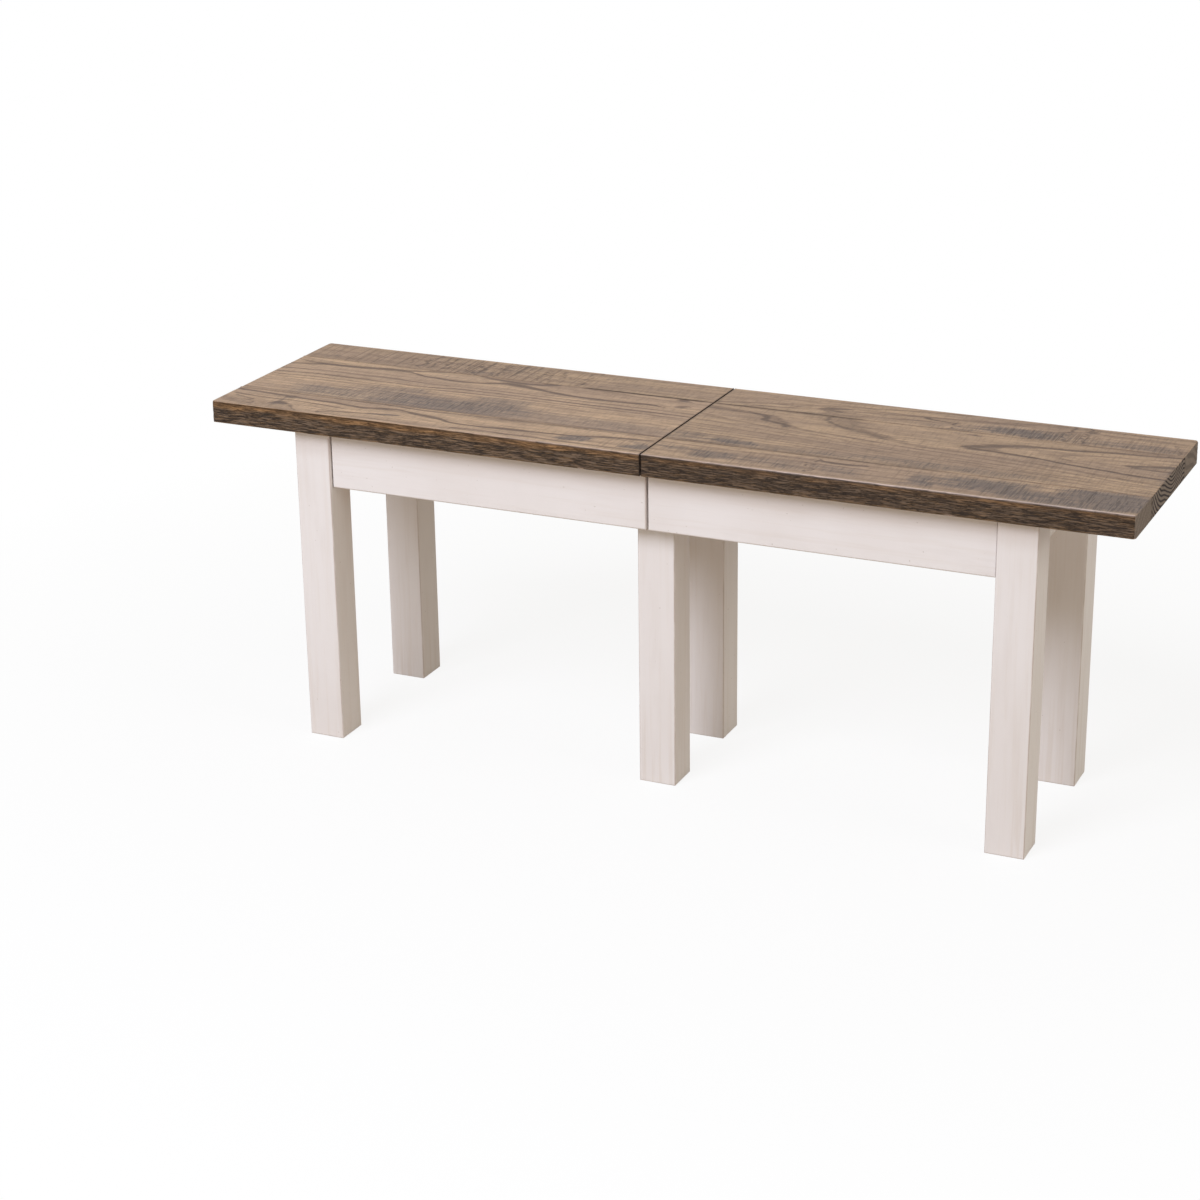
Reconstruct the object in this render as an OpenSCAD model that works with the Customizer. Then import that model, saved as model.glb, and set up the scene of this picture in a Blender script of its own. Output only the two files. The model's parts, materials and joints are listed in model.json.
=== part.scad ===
// Extending dining bench: two half tops on end legs slide apart over a fixed pair of centre legs.
// Frame: X along the bench, Y from the front edge to the back edge, Z up from the floor.
// Front is -Y and left is -X. Each piece is drawn for the right, back quarter and mirrored.

/* [Overall] */
// Length of the closed bench
bench_l = 1219; // [1150:1:1400]
// Depth of the seat, front edge to back edge
bench_d = 309; // [300:1:360]
// Height of the seat above the floor
bench_h = 457; // [420:1:620]

/* [Seat boards] */
// Thickness of the seat boards
top_t = 28.5; // [24:0.5:36]
// Width of the front board and of the back board
outer_board_w = 72.5; // [62:0.5:84]
// Gap between the two closed half tops
split_gap = 1.5; // [0.6:0.1:4]
// Radius of the upright corners at the bench's ends
top_corner_r = 5; // [2:0.5:12]
// Radius of the long and end edges of the seat
top_edge_r = 2.5; // [1:0.5:6]
// Radius of the edges where two boards or two halves meet
seam_r = 0.5; // [0.3:0.1:2]

/* [Legs] */
// Side of the square legs
leg_w = 50; // [46:1:54]
// From the seat's end to the outer face of the end legs
leg_end_inset = 115; // [60:1:150]
// From the seat's front or back edge to the outer face of the end legs
leg_side_inset = 15; // [8:1:20]
// Radius of the legs' upright edges
leg_edge_r = 2; // [0.5:0.5:5]
// Radius of the edges round each foot
foot_r = 1.5; // [0.5:0.5:4]

/* [Aprons] */
// Height of the aprons
apron_h = 76; // [70:1:95]
// Thickness of the aprons
apron_t = 19; // [17:0.5:22]
// From the outer face of a leg back to the face of the apron
apron_setback = 5; // [2:0.5:8]
// Radius of the edges round the aprons' faces
apron_edge_r = 2.5; // [1:0.5:5]
// Gap at the split between the left and right aprons
apron_gap = 2.5; // [1.5:0.1:5]
// Thickness of the tenons
tenon_t = 8; // [6:0.5:9]
// Length of the tenons
tenon_l = 24; // [16:0.5:26]
// Shoulder above and below each tenon
tenon_shoulder = 10; // [6:0.5:14]
// Glue room between a tenon and its mortise
mortise_clear = 0.15; // [0.05:0.05:0.4]
// Wood left between the two mortises of an end leg
mortise_wall = 2; // [1:0.5:6]

/* [Centre frame] */
// Height of the rail that joins the centre legs
cross_rail_h = 58; // [44:1:80]
// Thickness of the rail that joins the centre legs
cross_rail_t = 19; // [14:0.5:26]
// Length of the tenons on the rail that joins the centre legs
cross_tenon_l = 20; // [12:0.5:24]

/* [Slides] */
// Width of one drop-in leaf
leaf_w = 304.8; // [280:0.1:310]
// Leaves that fit on each side of the centre legs
leaves_per_side = 2; // [1:1:2]
// Thickness of a slide rail
rail_t = 20; // [18:0.5:21]
// Height of the slide rails that carry the half tops
rail_h = 42; // [36:0.5:48]
// From a side apron to the slide rails
rail_side_clear = 2.5; // [1:0.1:5]
// Gap between neighbouring slide rails
rail_gap = 1; // [0.6:0.1:1.5]
// From a rail's end to the end apron
rail_end_clear = 10; // [5:0.5:30]
// How far a rail is planed down where the other half passes over it
rail_relief = 1.5; // [0.8:0.1:3]
// From the split to the part of a rail that meets its half top
rail_raise_in = 20; // [10:1:26]
// How far the moving rails clear the centre legs
bearer_clear = 2; // [1:0.1:4]
// Height of the slide keys at their waist
key_neck = 8; // [6:0.5:10]
// Height of the slide keys at their wide sides
key_wide = 12; // [11:0.5:16]
// How deep a slide key sits in each rail
key_depth = 5; // [4:0.25:5.5]
// Running clearance round the sliding side of a key
key_clear = 0.3; // [0.2:0.05:0.4]
// Room left between two keys at full travel
stop_clear = 1; // [0.5:0.1:4]

/* [Corner blocks] */
// Length of a corner block along each apron
block_leg = 60; // [50:1:70]
// Room above a corner block, and below it to the aprons' lower edge
block_margin = 3; // [1:0.5:5]

/* [Leaf pins] */
// From the seat's front or back edge to a pin's axis
pin_inset = 42.5; // [30:0.5:50]
// Diameter of an alignment pin
pin_d = 10; // [8:0.5:12]
// Diameter of an alignment pin's tip
pin_tip_d = 5.5; // [4:0.5:7]
// How deep a pin is set in its board
pin_set = 14; // [10:1:20]
// How far a pin stands out of its board
pin_out = 14; // [10:1:18]
// Length of a pin's tapered tip
pin_taper = 7; // [4:0.5:8]
// Running clearance between a pin and its socket
pin_clear = 0.3; // [0.2:0.05:0.5]
// Room in a socket past the pin's tip
socket_spare = 2; // [1:0.5:4]

/* [Seat lock] */
// From the split to the lever's pivot
lock_pivot_x = 15; // [14:0.5:20]
// From the split to the keeper's stud
lock_stud_x = 10; // [8:0.5:14]
// Half width of the lock's plates
lock_plate_y = 13; // [12:0.5:18]
// From the split to the near end of each plate
lock_plate_x = 3; // [2:0.5:4]
// Length of the lock's plates past the pivot and past the stud
lock_plate_reach = 30; // [24:1:45]
// Thickness of the lock's plates
lock_plate_t = 2.5; // [2:0.25:4]
// Radius of the plates' corners
lock_corner_r = 4; // [1:0.5:6]
// Thickness of the lever
lock_lever_t = 4; // [3:0.25:6]
// Width of the metal round the lever's pivot and its jaw
lock_wall = 5; // [3.5:0.25:6]
// Width of the lever's handle
lock_handle_w = 8; // [6:0.5:10]
// Diameter of the knob at the handle's end
lock_knob_d = 10; // [8:0.5:14]
// Diameter of the lever's pivot
lock_pivot_d = 8; // [6:0.5:9]
// Height of the pivot's washer
lock_washer_h = 0.7; // [0.5:0.1:1.5]
// Height of the pivot's and the stud's heads below the lever
lock_head_h = 2; // [1:0.25:3]
// Diameter of the keeper's stud
lock_stud_d = 6; // [4:0.5:7]
// Running clearance between the lever and its pivot
lock_clear = 0.1; // [0.05:0.05:0.1]
// Room above and below the lever, and round the stud in its jaw
lock_play = 0.3; // [0.3:0.05:0.6]
// From the end of the lever's handle to the slide rails
lock_rail_clear = 6; // [3:0.5:10]
// Diameter of the lock's screws
lock_screw_d = 3.5; // [3:0.25:4]
// Length of the lock's screws
lock_screw_l = 16; // [12:0.5:20]
// From a plate's outer end and sides to its screws
lock_screw_inset = 6; // [5:0.25:7]

/* [Screws] */
// Diameter of the wood screws
screw_d = 4.5; // [3.5:0.25:5.5]
// Diameter of the wood screws at their points
screw_tip_d = 1.2; // [0.5:0.1:2]
// Diameter of the screws' heads
head_d = 9; // [8:0.25:9.5]
// Height of the screws' heads
head_h = 3; // [2:0.25:4]
// Room round a screw in the piece that it passes through
screw_clear = 0.2; // [0.1:0.05:0.5]
// How deep a screw goes into the seat boards
screw_bite = 14; // [10:0.5:18]
// How deep a corner block's screws go into the aprons
block_screw_bite = 11; // [8:0.5:14]
// How deep the screws of the fixed rails go into the centre legs
leg_screw_bite = 32; // [20:1:45]
// Tilt of the pocket screws from upright
pocket_tilt = 13; // [10:1:16]
// From the top of an apron down to a pocket screw's head
pocket_seat = 18; // [14:1:22]
// Length of the pocket behind a pocket screw's head
pocket_l = 45; // [40:1:60]
// From the split to the first pocket screw
pocket_first_x = 80; // [60:1:120]
// From a corner block to the last pocket screw
pocket_block_gap = 30; // [15:1:60]
// From the bench's middle line to the pocket screws in the end aprons
pocket_end_y = 31; // [20:1:40]
// From a rail's end to its last screw, and from its raised part's start to the first
rail_screw_inset = 20; // [12:1:40]
// How far the heads of the rails' screws are sunk
rail_screw_sink = 6; // [4:0.5:10]
// From the middle of a centre leg to the screws in its top
leg_screw_x = 14; // [8:0.5:16]
// How far the heads of those screws lie below the rail's top
leg_screw_sink = 1; // [0.5:0.5:3]
// From the end apron to the side screw of a corner block, and the same from the side apron
block_screw_in = 20; // [15:1:24]
// How far the heads of the corner blocks' screws are sunk
block_screw_sink = 6; // [4:0.5:8]

/* [Hidden] */
$fn = 48;
// How far a cut runs past the face that it opens
cut = 1;

half_in = split_gap / 2;
half_out = bench_l / 2;
side_y = bench_d / 2;
seam_y = side_y - outer_board_w;
under_z = bench_h - top_t;

leg_out_x = half_out - leg_end_inset;
leg_in_x = leg_out_x - leg_w;
leg_out_y = side_y - leg_side_inset;
leg_in_y = leg_out_y - leg_w;

apron_out_y = leg_out_y - apron_setback;
apron_in_y = apron_out_y - apron_t;
apron_mid_y = apron_out_y - apron_t / 2;
apron_z = under_z - apron_h;
end_apron_out_x = leg_in_x + apron_t;
end_apron_mid_x = leg_in_x + apron_t / 2;
// A tenon along Y stops short of the tenon along X in the same leg
end_tenon_l = min(tenon_l, apron_mid_y - tenon_t / 2 - leg_in_y - 3 * mortise_clear - mortise_wall);

// The slide rails of one side lie between the aprons: left half's, fixed, right half's
rail_pitch = rail_t + rail_gap;
left_rail_y = apron_in_y - rail_side_clear - rail_t / 2;
rail_mid_y = left_rail_y - rail_pitch;
right_rail_y = rail_mid_y - rail_pitch;
rail_end = leg_in_x - rail_end_clear;
rail_z = under_z - rail_h;
fixed_rail_top = under_z - rail_relief;
key_z = (rail_z + fixed_rail_top) / 2;
outer_gap_y = rail_mid_y + rail_t / 2;
inner_gap_y = rail_mid_y - rail_t / 2 - rail_gap;
travel = leaves_per_side * leaf_w;
// Two keys meet when the slide is fully out, so they share what the travel leaves
key_l = (2 * rail_end - travel - stop_clear) / 2;
key_slope = (key_wide - key_neck) / 2 / key_depth;
// A gap of key_clear square to the key's sloping sides, measured upright
key_slack = key_clear * sqrt(1 + key_slope * key_slope);

centre_in_y = rail_mid_y - leg_w / 2;
centre_leg_z = rail_z - bearer_clear;
cross_rail_z = centre_leg_z - cross_rail_h;

block_z0 = apron_z + block_margin;
block_z1 = centre_leg_z - block_margin;
block_hole_z = [block_z0 + (block_z1 - block_z0) / 3, block_z1 - (block_z1 - block_z0) / 3];

pocket_screw_l = pocket_seat + head_h + screw_bite;
pocket_last_x = leg_in_x - block_leg - pocket_block_gap;
side_pocket_xs = [pocket_first_x, (pocket_first_x + pocket_last_x) / 2, pocket_last_x];
rail_screw_l = rail_h - rail_screw_sink + screw_bite;
rail_screw_xs = [
    rail_raise_in + rail_screw_inset,
    (rail_raise_in + rail_end) / 2,
    rail_end - rail_screw_inset
];
leg_screw_l = fixed_rail_top - leg_screw_sink - centre_leg_z + leg_screw_bite;
block_screw_l = block_screw_in - block_screw_sink + block_screw_bite;
block_long_screw_l = block_leg - block_screw_in - block_screw_sink + block_screw_bite;

pin_y = side_y - pin_inset;
pin_z = under_z + top_t / 2;

lock_plate_z = under_z - lock_plate_t;
lever_top = lock_plate_z - lock_washer_h - lock_play;
lever_z = lever_top - lock_lever_t;
lever_arm = lock_pivot_x + lock_stud_x;
lever_reach = right_rail_y - rail_t / 2 - lock_rail_clear;
jaw_r = lock_stud_d / 2 + lock_play;
lock_base_x = [-lock_pivot_x - lock_plate_reach, -lock_plate_x];
lock_keeper_x = [lock_plate_x, lock_stud_x + lock_plate_reach];
lock_base_screw_x = lock_base_x[0] + lock_screw_inset;
lock_keeper_screw_x = lock_keeper_x[1] - lock_screw_inset;

stain = "#7d654c";
paint = "#e4dcd8";
maple = "#c9a873";
steel = "#a7a9ac";
black = "#26262b";

// Rectangle from lo to hi with its own radius at each corner, in the order -- +- ++ -+
module eased_rect(lo, hi, r) {
    difference() {
        translate(lo) square(hi - lo);
        for (i = [0:3]) if (r[i] > 0) {
            right = i == 1 || i == 2;
            upper = i > 1;
            translate([right ? hi[0] : lo[0], upper ? hi[1] : lo[1]])
                mirror([right ? 0 : 1, 0]) mirror([0, upper ? 0 : 1]) corner_waste(r[i]);
        }
    }
}

// What a rounded upper right corner loses, with the corner at the origin
module corner_waste(r) {
    difference() {
        translate([-r, -r]) square(r + cut);
        translate([-r, -r]) circle(r);
    }
}

// Outline in the Y-Z plane, drawn out along X
module along_x(x0, x1) {
    translate([x0, 0, 0]) rotate([90, 0, 90]) linear_extrude(x1 - x0) children();
}

// Outline in the X-Z plane, drawn out along Y
module along_y(y0, y1) {
    translate([0, y1, 0]) rotate([90, 0, 0]) linear_extrude(y1 - y0) children();
}

module box(lo, hi) {
    translate(lo) cube(hi - lo);
}

// Block from lo to hi whose edges are rounded by outlines: seen along X, along Y and from above
module eased_block(lo, hi, rx = [0, 0, 0, 0], ry = [0, 0, 0, 0], rz = [0, 0, 0, 0]) {
    intersection() {
        along_x(lo[0], hi[0]) eased_rect([lo[1], lo[2]], [hi[1], hi[2]], rx);
        along_y(lo[1], hi[1]) eased_rect([lo[0], lo[2]], [hi[0], hi[2]], ry);
        translate([0, 0, lo[2]]) linear_extrude(hi[2] - lo[2])
            eased_rect([lo[0], lo[1]], [hi[0], hi[1]], rz);
    }
}

// Mirrors a piece of the right, back quarter to its own quarter: -1 is left or front
module quarter(side, fb) {
    mirror([side < 0 ? 1 : 0, 0, 0]) mirror([0, fb < 0 ? 1 : 0, 0]) children();
}

// Places its children at both the front and the back
module front_and_back() {
    for (fb = [-1, 1]) quarter(1, fb) children();
}

// Screws point along +Z, with the outer face of the head at z = 0
module screw(length) {
    cylinder(d = head_d, h = head_h);
    thread(length);
}

// The thread alone, which is also the hole that it fills
module thread(length) {
    point = screw_d;
    translate([0, 0, head_h]) cylinder(d = screw_d, h = length - head_h - point);
    translate([0, 0, length - point]) cylinder(d1 = screw_d, d2 = screw_tip_d, h = point);
}

// Clearance hole right through a piece, with a counterbore that runs back from the head by room
module screw_hole(through, room) {
    translate([0, 0, -room]) cylinder(d = head_d + 2 * screw_clear, h = room + head_h);
    cylinder(d = screw_d + 2 * screw_clear, h = through);
}

// Pocket screws hold the top to the aprons: low inside, they lean outwards as they rise
module pocket_place(mid) {
    translate([0, mid, under_z]) rotate([-pocket_tilt, 0, 0])
        translate([0, 0, -pocket_seat - head_h]) children();
}

module side_pockets() {
    for (x = side_pocket_xs) translate([x, 0, 0]) pocket_place(apron_mid_y) children();
}

module end_pockets() {
    for (fb = [-1, 1]) translate([end_apron_mid_x, fb * pocket_end_y, 0])
        rotate([0, 0, -90]) pocket_place(0) children();
}

// Screws up through a moving rail at y, set off from its middle to the side away from its key
module rail_screw_places(y, out) {
    for (x = rail_screw_xs) translate([x, y + out * key_depth / 2, rail_z + rail_screw_sink]) children();
}

module left_rail_screw_places() {
    rail_screw_places(left_rail_y, 1) children();
}

module right_rail_screw_places() {
    rail_screw_places(right_rail_y, -1) children();
}

// Screws down through a fixed rail into the top of a centre leg
module leg_screw_places() {
    for (x = [-leg_screw_x, leg_screw_x]) translate([x, rail_mid_y, fixed_rail_top - leg_screw_sink])
        rotate([180, 0, 0]) children();
}

// A corner block's screw into the side apron
module block_side_place() {
    translate([leg_in_x - block_screw_in, apron_in_y - block_leg + block_screw_in + block_screw_sink,
        block_hole_z[1]]) rotate([-90, 0, 0]) children();
}

// A corner block's screw into the end apron
module block_end_place() {
    translate([leg_in_x - block_screw_in + block_screw_sink, apron_in_y - block_leg + block_screw_in,
        block_hole_z[0]]) rotate([0, 90, 0]) children();
}

// Frame of an alignment pin at the face of the right half: its +Z points out to the split
module pin_place() {
    translate([half_in, pin_y, pin_z]) rotate([0, -90, 0]) children();
}

// Front or back board of one half; its outer edges are rounded most
module outer_board(side, fb) {
    color(stain) quarter(side, fb) difference() {
        eased_block([half_in, seam_y, under_z], [half_out, side_y, bench_h],
            rx = [0, top_edge_r, top_edge_r, seam_r],
            ry = [seam_r, top_edge_r, top_edge_r, seam_r],
            rz = [0, 0, top_corner_r, 0]);
        side_pockets() thread(pocket_screw_l);
        if (side < 0) {
            left_rail_screw_places() thread(rail_screw_l);
            pin_place() translate([0, 0, -pin_set]) cylinder(d = pin_d, h = pin_set + cut);
        } else {
            pin_place() translate([0, 0, -pin_out - socket_spare])
                cylinder(d = pin_d + 2 * pin_clear, h = pin_out + socket_spare + cut);
        }
    }
}

module middle_board(side) {
    color(stain) quarter(side, 1) difference() {
        eased_block([half_in, -seam_y, under_z], [half_out, seam_y, bench_h],
            rx = [0, 0, seam_r, seam_r],
            ry = [seam_r, top_edge_r, top_edge_r, seam_r]);
        end_pockets() thread(pocket_screw_l);
        if (side > 0) {
            front_and_back() right_rail_screw_places() thread(rail_screw_l);
            lock_screw_places(lock_keeper_screw_x) flat_screw();
        } else {
            lock_screw_places(-lock_base_screw_x) flat_screw();
        }
    }
}

module alignment_pins() {
    color(black) front_and_back() quarter(-1, 1) pin_place() {
        translate([0, 0, -pin_set]) cylinder(d = pin_d, h = pin_set + pin_out - pin_taper);
        translate([0, 0, pin_out - pin_taper]) cylinder(d1 = pin_d, d2 = pin_tip_d, h = pin_taper);
    }
}

// Front or back apron of one half, with one tenon into the end leg
module side_apron(side, fb) {
    color(paint) quarter(side, fb) difference() {
        union() {
            eased_block([apron_gap / 2, apron_in_y, apron_z], [leg_in_x, apron_out_y, under_z],
                rx = [0, apron_edge_r, 0, 0],
                rz = [0, 0, apron_edge_r, apron_edge_r]);
            side_tenon(0);
        }
        side_pockets() screw_hole(pocket_screw_l, pocket_l);
        block_side_place() thread(block_long_screw_l);
    }
}

// A tenon, grown on every side to cut its mortise
module side_tenon(grow) {
    box([leg_in_x - cut, apron_mid_y - tenon_t / 2 - grow, apron_z + tenon_shoulder - grow],
        [leg_in_x + tenon_l + 2 * grow, apron_mid_y + tenon_t / 2 + grow, under_z - tenon_shoulder + grow]);
}

// End apron between the end legs, flush with their inner faces, with a tenon at each end
module end_apron(side) {
    color(paint) quarter(side, 1) difference() {
        union() {
            eased_block([leg_in_x, -leg_in_y, apron_z], [end_apron_out_x, leg_in_y, under_z],
                ry = [0, apron_edge_r, 0, 0]);
            front_and_back() end_tenon(0);
        }
        end_pockets() screw_hole(pocket_screw_l, pocket_l);
        front_and_back() block_end_place() thread(block_screw_l);
    }
}

module end_tenon(grow) {
    box([end_apron_mid_x - tenon_t / 2 - grow, leg_in_y - cut, apron_z + tenon_shoulder - grow],
        [end_apron_mid_x + tenon_t / 2 + grow, leg_in_y + end_tenon_l + 2 * grow,
            under_z - tenon_shoulder + grow]);
}

// Square leg with its lower corner at x, y, up to z1
module leg(x, y, z1) {
    foot = [foot_r, foot_r, 0, 0];
    eased_block([x, y, 0], [x + leg_w, y + leg_w, z1], rx = foot, ry = foot,
        rz = [leg_edge_r, leg_edge_r, leg_edge_r, leg_edge_r]);
}

module end_leg(side, fb) {
    color(paint) quarter(side, fb) difference() {
        leg(leg_in_x, leg_in_y, under_z);
        side_tenon(mortise_clear);
        end_tenon(mortise_clear);
    }
}

module centre_leg(fb) {
    color(paint) quarter(1, fb) difference() {
        leg(-leg_w / 2, centre_in_y, centre_leg_z);
        cross_tenon(mortise_clear);
        leg_screw_places() thread(leg_screw_l);
    }
}

module cross_tenon(grow) {
    box([-tenon_t / 2 - grow, centre_in_y - cut, cross_rail_z + tenon_shoulder - grow],
        [tenon_t / 2 + grow, centre_in_y + cross_tenon_l + 2 * grow, centre_leg_z - tenon_shoulder + grow]);
}

module centre_cross_rail() {
    color(paint) {
        eased_block([-cross_rail_t / 2, -centre_in_y, cross_rail_z],
            [cross_rail_t / 2, centre_in_y, centre_leg_z],
            ry = [apron_edge_r, apron_edge_r, 0, 0]);
        front_and_back() cross_tenon(0);
    }
}

// Half of a slide key's bow-tie outline, from the rail's face at y inwards in the direction of s
module key_half(y, s, slides) {
    depth = slides ? key_depth - key_clear : key_depth;
    neck = key_neck / 2 - (slides ? key_slack : 0);
    wide = neck + key_slope * depth;
    deep = y + s * depth;
    polygon([[y, key_z - neck], [deep, key_z - wide], [deep, key_z + wide], [y, key_z + neck]]);
}

// Groove along a rail for a key, from the rail's face at y inwards in the direction of s
module key_groove(y, s) {
    along_x(-rail_end - cut, rail_end + cut) key_half(y, s, false);
}

// Key across the gap that starts at y0, glued in the rail past the gap (1) or before it (-1)
module key(x0, x1, y0, glued) {
    waist = key_neck / 2 - key_slack;
    along_x(x0, x1) {
        key_half(y0, -1, glued > 0);
        key_half(y0 + rail_gap, 1, glued < 0);
        translate([y0, key_z - waist]) square([rail_gap, 2 * waist]);
    }
}

// Moving slide rail at y for one half; its groove faces the fixed rail and out is the other side
module moving_rail(y, out) {
    difference() {
        box([-rail_end, y - rail_t / 2, rail_z], [rail_end, y + rail_t / 2, under_z]);
        box([-rail_end - cut, y - rail_t / 2 - cut, fixed_rail_top],
            [rail_raise_in, y + rail_t / 2 + cut, under_z + cut]);
        key_groove(y - out * rail_t / 2, out);
    }
}

module left_slide_rail(fb) {
    color(maple) quarter(-1, fb) difference() {
        moving_rail(left_rail_y, 1);
        left_rail_screw_places() screw_hole(rail_h, rail_screw_sink + cut);
    }
}

module right_slide_rail(fb) {
    color(maple) quarter(1, fb) difference() {
        moving_rail(right_rail_y, -1);
        right_rail_screw_places() screw_hole(rail_h, rail_screw_sink + cut);
    }
}

// Fixed slide rail on top of a centre leg, with a groove in each face
module centre_slide_rail(fb) {
    color(maple) quarter(1, fb) difference() {
        box([-rail_end, rail_mid_y - rail_t / 2, centre_leg_z],
            [rail_end, rail_mid_y + rail_t / 2, fixed_rail_top]);
        key_groove(rail_mid_y + rail_t / 2, -1);
        key_groove(rail_mid_y - rail_t / 2, 1);
        leg_screw_places() screw_hole(leg_screw_l, leg_screw_sink + cut);
    }
}

module left_slide_keys() {
    color(maple) front_and_back() key(rail_end - key_l, rail_end, outer_gap_y, 1);
}

module right_slide_keys() {
    color(maple) front_and_back() key(-rail_end, -rail_end + key_l, inner_gap_y, -1);
}

module centre_slide_keys() {
    color(maple) front_and_back() {
        key(-rail_end, -rail_end + key_l, outer_gap_y, -1);
        key(rail_end - key_l, rail_end, inner_gap_y, 1);
    }
}

module corner_blocks(side) {
    color(maple) quarter(side, 1) front_and_back() difference() {
        translate([0, 0, block_z0]) linear_extrude(block_z1 - block_z0)
            polygon([[leg_in_x, apron_in_y], [leg_in_x - block_leg, apron_in_y],
                [leg_in_x, apron_in_y - block_leg]]);
        block_side_place() screw_hole(block_leg, block_leg);
        block_end_place() screw_hole(block_leg, block_leg);
    }
}

module pocket_screws(side) {
    color(steel) quarter(side, 1) {
        front_and_back() side_pockets() screw(pocket_screw_l);
        end_pockets() screw(pocket_screw_l);
    }
}

module left_rail_screws() {
    color(steel) quarter(-1, 1) front_and_back() left_rail_screw_places() screw(rail_screw_l);
}

module right_rail_screws() {
    color(steel) front_and_back() right_rail_screw_places() screw(rail_screw_l);
}

module centre_rail_screws() {
    color(steel) front_and_back() leg_screw_places() screw(leg_screw_l);
}

module block_screws(side) {
    color(steel) quarter(side, 1) front_and_back() {
        block_side_place() screw(block_long_screw_l);
        block_end_place() screw(block_screw_l);
    }
}

// Two screws of a lock plate at x
module lock_screw_places(x) {
    y = lock_plate_y - lock_screw_inset;
    for (s = [-y, y]) translate([x, s, lock_plate_z]) children();
}

module lock_plate_screws(x) {
    color(steel) lock_screw_places(x) flat_screw();
}

// Countersunk screw, which is also the hole that it fills
module flat_screw() {
    cone = lock_screw_d / 2;
    cylinder(d1 = 2 * lock_screw_d, d2 = lock_screw_d, h = cone);
    translate([0, 0, cone]) cylinder(d = lock_screw_d, h = lock_screw_l - cone - lock_screw_d);
    translate([0, 0, lock_screw_l - lock_screw_d])
        cylinder(d1 = lock_screw_d, d2 = screw_tip_d, h = lock_screw_d);
}

// Plate from x[0] to x[1] against the underside, with one round hole
module lock_plate(x, hole_x, hole_d) {
    r = lock_corner_r;
    difference() {
        translate([0, 0, lock_plate_z]) linear_extrude(lock_plate_t)
            eased_rect([x[0], -lock_plate_y], [x[1], lock_plate_y], [r, r, r, r]);
        translate([hole_x, 0, lock_plate_z - cut]) cylinder(d = hole_d, h = lock_plate_t + 2 * cut);
    }
}

module lock_base() {
    color(steel) difference() {
        lock_plate(lock_base_x, -lock_pivot_x, lock_pivot_d);
        lock_screw_places(lock_base_screw_x) flat_screw();
    }
}

// Pin riveted in the base plate, with a washer above the lever and a head below it
module lock_pivot_pin() {
    head_z = lever_z - lock_play - lock_head_h;
    color(steel) translate([-lock_pivot_x, 0, 0]) {
        translate([0, 0, head_z]) cylinder(d = lock_pivot_d, h = under_z - head_z);
        translate([0, 0, lock_plate_z - lock_washer_h])
            cylinder(d = lock_pivot_d + lock_wall, h = lock_washer_h);
        translate([0, 0, head_z]) cylinder(d = lock_pivot_d + lock_wall, h = lock_head_h);
    }
}

// The lever from above at rest, swung to the front: pivot boss, jaw and handle
module lever_outline() {
    boss_r = lock_pivot_d / 2 + lock_wall;
    lip_r = jaw_r + lock_wall;
    knob_y = lock_knob_d / 2 - lever_reach;
    difference() {
        union() {
            circle(boss_r);
            translate([-lip_r, -lever_arm]) square([2 * lip_r, lever_arm]);
            translate([0, -lever_arm]) circle(lip_r);
            translate([-lock_handle_w / 2, knob_y]) square([lock_handle_w, -lever_arm - knob_y]);
            translate([0, knob_y]) circle(d = lock_knob_d);
        }
        circle(d = lock_pivot_d + 2 * lock_clear);
        translate([0, -lever_arm]) circle(jaw_r);
        // Path of the stud into the jaw as the lever swings shut
        intersection() {
            difference() {
                circle(lever_arm + jaw_r);
                circle(lever_arm - jaw_r);
            }
            translate([0, -lever_arm - lip_r]) square(lever_arm);
        }
    }
}

module lock_lever() {
    color(steel) translate([-lock_pivot_x, 0, lever_z]) linear_extrude(lock_lever_t) lever_outline();
}

// Keeper plate with the stud that the lever's jaw takes hold of
module lock_keeper() {
    stud_z = lever_z - lock_head_h;
    color(steel) {
        difference() {
            lock_plate(lock_keeper_x, lock_stud_x, lock_stud_d);
            lock_screw_places(lock_keeper_screw_x) flat_screw();
        }
        translate([lock_stud_x, 0, stud_z]) cylinder(d = lock_stud_d, h = under_z - stud_z);
    }
}

outer_board(-1, -1);  // left_front_board
middle_board(-1);  // left_middle_board
outer_board(-1, 1);  // left_back_board
outer_board(1, -1);  // right_front_board
middle_board(1);  // right_middle_board
outer_board(1, 1);  // right_back_board
side_apron(-1, -1);  // left_front_apron
side_apron(-1, 1);  // left_rear_apron
end_apron(-1);  // left_end_apron
side_apron(1, -1);  // right_front_apron
side_apron(1, 1);  // right_rear_apron
end_apron(1);  // right_end_apron
end_leg(-1, -1);  // left_front_leg
end_leg(-1, 1);  // left_rear_leg
end_leg(1, -1);  // right_front_leg
end_leg(1, 1);  // right_rear_leg
centre_leg(-1);  // centre_front_leg
centre_leg(1);  // centre_rear_leg
centre_cross_rail();
left_slide_rail(-1);  // left_front_slide_rail
left_slide_rail(1);  // left_rear_slide_rail
right_slide_rail(-1);  // right_front_slide_rail
right_slide_rail(1);  // right_rear_slide_rail
centre_slide_rail(-1);  // centre_front_slide_rail
centre_slide_rail(1);  // centre_rear_slide_rail
left_slide_keys();
right_slide_keys();
centre_slide_keys();
corner_blocks(-1);  // left_corner_blocks
corner_blocks(1);  // right_corner_blocks
pocket_screws(-1);  // left_pocket_screws
pocket_screws(1);  // right_pocket_screws
left_rail_screws();
right_rail_screws();
centre_rail_screws();
block_screws(-1);  // left_block_screws
block_screws(1);  // right_block_screws
alignment_pins();
lock_base();
lock_pivot_pin();
lock_lever();
lock_keeper();
lock_plate_screws(lock_base_screw_x);  // lock_base_screws
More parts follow.
